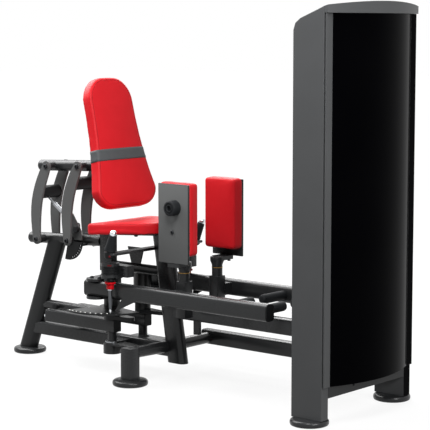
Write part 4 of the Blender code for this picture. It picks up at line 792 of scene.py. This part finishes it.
for side, out in SIDES.items():
    foot = on_side(GRIP_FOOT, out)
    lean = on_side(GRIP_TIP, out) - foot
    sleeve = list(SLEEVE_COLLAR)
    for i in range(SLEEVE_RIBS):
        rise = SLEEVE_RIB_FROM + SLEEVE_RIB_STEP * i
        wide = SLEEVE_R - SLEEVE_TAPER * i
        sleeve += [(wide - 0.0006, rise), (wide, rise + 0.0016), (wide - 0.0003, rise + 0.0048),
                   (wide - 0.0012, rise + 0.0062)]
    sleeve += [(0.0164, SLEEVE_LONG - 0.004), (0.0150, SLEEVE_LONG), (0.0, SLEEVE_LONG)]
    dressed(turned(side + "_grip_sleeve", sleeve, [foot], lean, ease=0.0004),
            RUBBER, "frame", (side + "_grip",))
    ball = [(0.0, SLEEVE_LONG - 0.002)]
    for i in range(BALL_STEPS + 1):
        turn = math.pi * (BALL_NECK + (1.0 - BALL_NECK) * i / BALL_STEPS)
        ball.append((BALL_R * math.sin(turn), lean.length - BALL_R - BALL_R * math.cos(turn)))
    dressed(turned(side + "_grip_ball", ball, [foot], lean, ease=0.0004, sides=32),
            CHROME, "frame")
    below = on_side(GRIP_LOW, out)
    dressed(turned(side + "_grip_socket", GRIP_SOCKET, [below], Z), NYLON, "frame")
    face = mark_face(out)
    spot = below - Z * STUD_DROP + face * STUD_OUT
    dressed(turned(side + "_grip_stud", GRIP_STUD, [spot], face, ease=0.0003, sides=24), DIM_RED, "frame")

# Bolt heads, across and along, and washers' bores and rims, in shares of the head's radius
BOLT_HEAD = ((0.0, 0.0), (1.0, 0.0), (1.0, 0.30), (0.86, 0.55), (0.62, 0.66), (0.45, 0.66), (0.45, 0.30),
             (0.0, 0.30))
WASHER_BORE = 0.5
WASHER_RIM = 1.45
WASHER_T = 0.0016


def bolts(name, places, axis, radius, body, look, washer=None):
    """Button heads with sockets, on washers where these are given."""
    way = Vector(axis).normalized()
    places = [Vector(place) for place in places]
    if washer:
        bore = radius * WASHER_BORE
        rim = radius * WASHER_RIM
        flat = ((bore, 0.0), (rim, 0.0), (rim, WASHER_T), (bore, WASHER_T))
        dressed(turned(name + "_washers", flat, places, way, ease=0.0003, ring=True), washer, body)
        places = [place + way * WASHER_T for place in places]
    head = [(radius * across, radius * along) for across, along in BOLT_HEAD]
    dressed(turned(name, head, places, way, ease=0.0003, sides=36), look, body)


# Link pivots: black bolts on painted washers, on both sides
LINK_REACH = Vector((0.070, 0.0, 0.343))
LINK_BOLT_R = 0.0115
for name in ("front", "rear"):
    foot = PIVOT[name + "_link_hinge"]
    for side, out in SIDES.items():
        spots = [(spot.x, LINK_OUT * out, spot.z) for spot in (foot, foot + LINK_REACH)]
        bolts("_".join((side, name, "link", "bolts")), spots, Y * out, LINK_BOLT_R, name + "_link", OXIDE,
              GREY)

# Leg arms: end plugs, bolts on the hub plates, nuts on the hip shafts, and bronze rings under the pads
BOLT_R = 0.0085
ARM_Y = 0.205
ARM_MID = 0.398
ARM_BACK = -0.3705
ARM_FRONT = 0.6385
ARM_SECTION = rounded(0.051, 0.072, 0.017)
HUB_BOLTS = (0.018, 0.062)
HUB_TOP = 0.443
HIP_NUT = ((0.0, 0.0), (0.0240, 0.0), (0.0240, 0.003), (0.0165, 0.0035), (0.0165, 0.013), (0.0140, 0.0155),
           (0.0085, 0.0160), (0.0085, 0.020), (0.0, 0.021))
HIP_NUT_Z = 0.448
SWIVEL_RING = ((0.0200, 0.4955), (0.0243, 0.4955), (0.0250, 0.4965), (0.0250, 0.4980), (0.0200, 0.4980))

# Start pins' housings on the leg arms: ribs round each, a mark above the ribs, and bolts in its clamp
HOUSING_LOW = 0.479
HOUSING_BORE = 0.030
HOUSING_RIBS = 5
HOUSING_RIB_STEP = 0.007
HOUSING_RIB_GAP = 0.0002
HOUSING_MARK = rounded(0.018, 0.007, 0.002)
HOUSING_MARK_OUT = 0.0395
HOUSING_MARK_Z = 0.5205
CLAMP_OUT = 0.2275
CLAMP_AHEAD = 0.056
CLAMP_LEVELS = (0.478, 0.503)
CLAMP_BOLT_R = 0.0062
for side, out in SIDES.items():
    body = side + "_leg_arm"
    spot = (ARM_FRONT, ARM_Y * out, ARM_MID)
    front = slab(side + "_arm_front_plug", ARM_SECTION, thick=0.006, at=spot, out=X, ease=0.003)
    dressed(front, NYLON, body)
    spot = (ARM_BACK, ARM_Y * out, ARM_MID)
    rear = slab(side + "_arm_rear_plug", ARM_SECTION, thick=0.010, at=spot, out=-X, ease=0.004)
    dressed(rear, CHARCOAL, body)
    spots = [(ARM_BACK + reach, ARM_Y * out, HUB_TOP) for reach in HUB_BOLTS]
    bolts(side + "_hub_bolts", spots, Z, BOLT_R, body, OXIDE)
    hip = PIVOT[side + "_swing_hinge"]
    dressed(turned(side + "_hip_nut", HIP_NUT, [(hip.x, hip.y, HIP_NUT_Z)], Z, ease=0.0004, sides=6),
            CHROME, "frame")
    swivel = PIVOT[side + "_pad_swivel"]
    spot = (swivel.x, swivel.y, 0.0)
    dressed(turned(side + "_swivel_ring", SWIVEL_RING, [spot], Z, ease=0.0002, sides=48, ring=True),
            BRONZE, body)
    pin = centre(side + "_start_pin")
    ribs = [(HOUSING_BORE, HOUSING_LOW)]
    for i in range(HOUSING_RIBS):
        rise = HOUSING_LOW + HOUSING_RIB_GAP + HOUSING_RIB_STEP * i
        ribs += [(0.0365, rise), (0.0388, rise + 0.0014), (0.0388, rise + 0.0036), (0.0365, rise + 0.005)]
    ribs.append((HOUSING_BORE, HOUSING_LOW + HOUSING_RIB_STEP * HOUSING_RIBS))
    spot = (pin.x, pin.y, 0.0)
    dressed(turned(side + "_housing_ribs", ribs, [spot], Z, ease=0.0003, sides=56, ring=True), NYLON, body)
    face = mark_face(out)
    spot = (pin.x + face.x * HOUSING_MARK_OUT, pin.y + face.y * HOUSING_MARK_OUT, HOUSING_MARK_Z)
    mark = slab(side + "_setting_mark", HOUSING_MARK, thick=0.002, at=spot, out=face, ease=0.0006)
    dressed(mark, DIM_RED, body)
    spots = [(pin.x + CLAMP_AHEAD, CLAMP_OUT * out, level) for level in CLAMP_LEVELS]
    bolts(side + "_clamp_bolts", spots, Y * out, CLAMP_BOLT_R, body, OXIDE)

# Start settings: pale pips along each fan's row of holes, at these angles past the pin
FAN_TOP = 0.306
FAN_PIPS = 9
FAN_PIP_R = 0.2136
FAN_PIP_FROM = 3.75
FAN_PIP_STEP = 6.75
PIP = ((0.0, 0.0), (0.0028, 0.0), (0.0028, 0.0018), (0.0018, 0.0026), (0.0, 0.0026))
for side, out in SIDES.items():
    pin = centre(side + "_start_pin")
    hinge = PIVOT[side + "_swing_hinge"]
    hip = Vector((hinge.x, hinge.y, FAN_TOP))
    from_pin = math.atan2((pin.y - hip.y) * out, pin.x - hip.x)
    spots = []
    for i in range(FAN_PIPS):
        turn = from_pin + math.radians(FAN_PIP_FROM + FAN_PIP_STEP * i)
        spots.append(hip + Vector((FAN_PIP_R * math.cos(turn), FAN_PIP_R * math.sin(turn) * out, 0.0)))
    dressed(turned(side + "_setting_pips", PIP, spots, Z, ease=0.0002, sides=16),
            WHITE_PAINT, side + "_swing")

# Pad plates: a black bolt in each, and one more on the flange below
PLATE_BOLT = Vector((0.1005, PLATE_OUT, 0.676))
YOKE_BOLT = Vector((0.1335, 0.150, 0.527))
YOKE_BOLT_R = 0.0075
for side, out in SIDES.items():
    bolts(side + "_plate_bolt", [on_side(PLATE_BOLT, out)], Y * out, BOLT_R, side + "_thigh", OXIDE)
    bolts(side + "_yoke_bolt", [on_side(YOKE_BOLT, out)], -Z, YOKE_BOLT_R, side + "_thigh", OXIDE)

# Hip rails: plugged ends, an adjuster behind, and washers round the shafts
RAIL_SECTION = rounded(0.045, 0.054, 0.006)
RAIL_MID = 0.217
RAIL_BACK = -0.7395
RAIL_FRONT = -0.3035
ADJUSTER = ((0.0, 0.0), (0.0165, 0.0), (0.0165, 0.004), (0.0120, 0.0045), (0.0120, 0.0125),
            (0.0075, 0.0130), (0.0075, 0.022), (0.0055, 0.024), (0.0, 0.024))
ADJUSTER_Z = 0.212
HIP_RING = ((0.0208, 0.142), (0.0300, 0.142), (0.0310, 0.143), (0.0310, 0.147), (0.0208, 0.147))
for side in SIDES:
    hip = PIVOT[side + "_swing_hinge"]
    plug = slab(side + "_rail_plug", RAIL_SECTION, thick=0.004, at=(RAIL_FRONT, hip.y, RAIL_MID), out=X)
    dressed(plug, NYLON, "frame")
    spot = (RAIL_BACK, hip.y, ADJUSTER_Z)
    dressed(turned(side + "_rail_adjuster", ADJUSTER, [spot], -X, ease=0.0004, sides=6),
            CHROME, "frame")
    spot = (hip.x, hip.y, 0.0)
    dressed(turned(side + "_hip_ring", HIP_RING, [spot], Z, ease=0.0004, sides=48, ring=True),
            ZINC, "frame")

# Knob on the upper spine
KNOB = ((0.0, 0.0), (0.0090, 0.0), (0.0090, 0.010), (0.0150, 0.012), (0.0165, 0.015), (0.0165, 0.024),
        (0.0140, 0.0285), (0.0, 0.030))
SPINE_KNOB = (-0.7545, -0.0205, 0.245)
dressed(turned("spine_knob", KNOB, [SPINE_KNOB], -Y, ease=0.0005, sides=24),
        NYLON, "frame")

# Gas spring's bracket on the lower tube, with a hand knob
GAS = PIVOT["gas_barrel_hinge"]
BRACKET = ((-0.020, -0.062), (0.062, -0.062), (0.058, -0.018), (0.004, 0.058), (-0.006, 0.060),
           (-0.014, 0.010))
BRACKET_Y = -0.0335
GAS_KNOB = (GAS.x + 0.046, -0.0385, GAS.z - 0.010)
plate = slab("gas_bracket", BRACKET, thick=0.006, at=(GAS.x, BRACKET_Y, GAS.z), out=-Y, ease=0.001)
dressed(plate, GREY, "frame")
dressed(turned("gas_knob", KNOB, [GAS_KNOB], -Y, ease=0.0005, sides=24),
        NYLON, "frame")

# Round plugs in the rear ends of the two link tubes
TUBE_SLOPE = Vector((-1.0, 0.0, -0.0446)).normalized()
CROWN = ((0.0, -0.002), (0.0255, -0.002), (0.0255, 0.001), (0.0225, 0.005), (0.0120, 0.0075), (0.0, 0.008))
for name, body, node, pivot in (("lower", "frame", "lower_link_tube", "rear_link_hinge"),
                                ("upper", "back_rest", "upper_tube", "back_rest_hinge")):
    reach = PIVOT[pivot].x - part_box(node)[0][0]
    end = PIVOT[pivot] + TUBE_SLOPE * reach
    dressed(turned(name + "_tube_plug", CROWN, [end], TUBE_SLOPE, sides=48), NYLON, body)

# Screws in the beam below the tower's panel, and bolts under the seat plate
TOWER_SCREW = Vector((0.973, 0.09, 0.136))
TOWER_SCREW_R = 0.0055
SEAT_BOLT = Vector((-0.1855, 0.100, 0.6316))
spots = [on_side(TOWER_SCREW, out) for out in SIDES.values()]
bolts("tower_screws", spots, X, TOWER_SCREW_R, "frame", OXIDE)
spots = [on_side(SEAT_BOLT, out) for out in SIDES.values()]
bolts("seat_bolts", spots, -Z, BOLT_R, "frame", OXIDE)

# Studio: light on the object, and the floor's own lift to the camera, less near the object than far off
WHITE = "#ffffff"
AMBIENT = 0.14
FLOOR = 40.0
FLOOR_GAP = 0.0005
FLOOR_PAINT = "#5c5c5c"
FLOOR_GLOW = 0.88
GLOW_NEAR = 1.2
GLOW_FAR = 4.0
# Soft lamps: where each stands, what it looks at, how wide it is, and its power
SOFTBOXES = (
    ("left_softbox", (-2.0, -0.2, 3.0), (0.0, 0.0, 0.5), 3.2, 220.0),
    ("key_softbox", (1.5, -1.8, 3.2), (0.7, 0.0, 1.0), 1.4, 95.0),
    ("front_softbox", (4.2, -1.4, 2.2), (0.0, 0.0, 0.7), 1.6, 125.0),
    ("rim_softbox", (-1.8, 3.0, 2.8), (0.0, 0.0, 0.4), 2.0, 70.0),
)


def background_rays(tree):
    """One for the rays that see the background: to the camera, or by way of metal or glass."""
    kinds = add(tree, "ShaderNodeLightPath", {}).outputs
    mirrored = add(tree, "ShaderNodeMath",
                   {"Value": kinds["Is Glossy Ray"], "Value_001": kinds["Is Transmission Ray"]},
                   operation="MAXIMUM")
    return add(tree, "ShaderNodeMath", {"Value": kinds["Is Camera Ray"], "Value_001": mirrored},
               operation="MAXIMUM")


def studio():
    """A white sweep to the camera, and soft lamps: a broad one to the left, one over the tower, one at the
    front and one behind."""
    world = bpy.data.worlds.new("studio")
    bpy.context.scene.world = world
    world.use_nodes = True
    tree = world.node_tree
    tree.nodes.clear()
    strength = ranged(tree, background_rays(tree), AMBIENT, 1.0)
    sky = add(tree, "ShaderNodeBackground", {"Color": linear(WHITE), "Strength": strength})
    add(tree, "ShaderNodeOutputWorld", {"Surface": sky})

    shape = bmesh.new()
    bmesh.ops.create_grid(shape, x_segments=1, y_segments=1, size=FLOOR)
    floor = shown("studio_floor", shape)
    floor.location.z = -FLOOR_GAP
    made, tree, where = blank("white_studio_floor")
    paint = add(tree, "ShaderNodeBsdfDiffuse", {"Color": linear(FLOOR_PAINT)})
    away = add(tree, "ShaderNodeVectorMath", {"Vector": where}, operation="LENGTH").outputs["Value"]
    level = add(tree, "ShaderNodeMapRange", {"Value": away, "From Min": GLOW_NEAR, "From Max": GLOW_FAR,
                                             "To Min": FLOOR_GLOW, "To Max": 1.0})
    glow = add(tree, "ShaderNodeMath", {"Value": background_rays(tree), "Value_001": level},
               operation="MULTIPLY")
    lift = add(tree, "ShaderNodeEmission", {"Color": linear(WHITE), "Strength": glow})
    both = add(tree, "ShaderNodeAddShader", {"Shader": paint, "Shader_001": lift})
    add(tree, "ShaderNodeOutputMaterial", {"Surface": both})
    floor.data.materials.append(made)

    for name, at, aim, size, power in SOFTBOXES:
        lamp = bpy.data.lights.new(name, "AREA")
        lamp.shape = "DISK"
        lamp.size = size
        lamp.energy = power
        holder = bpy.data.objects.new(name, lamp)
        bpy.context.scene.collection.objects.link(holder)
        holder.location = at
        holder.rotation_euler = (Vector(aim) - Vector(at)).to_track_quat("-Z", "Y").to_euler()


studio()

lens = bpy.data.cameras.new("camera")
lens.sensor_width = SENSOR_MM
lens.lens = FOCAL_PX / FRAME_PX * SENSOR_MM
lens.dof.use_dof = False
camera = bpy.data.objects.new("camera", lens)
camera.location = CAMERA_AT
camera.rotation_euler = (math.pi / 2.0 - CAMERA_DOWN, 0.0, CAMERA_ROUND)
bpy.context.scene.collection.objects.link(camera)
bpy.context.scene.camera = camera
bpy.context.scene.view_settings.view_transform = "Standard"
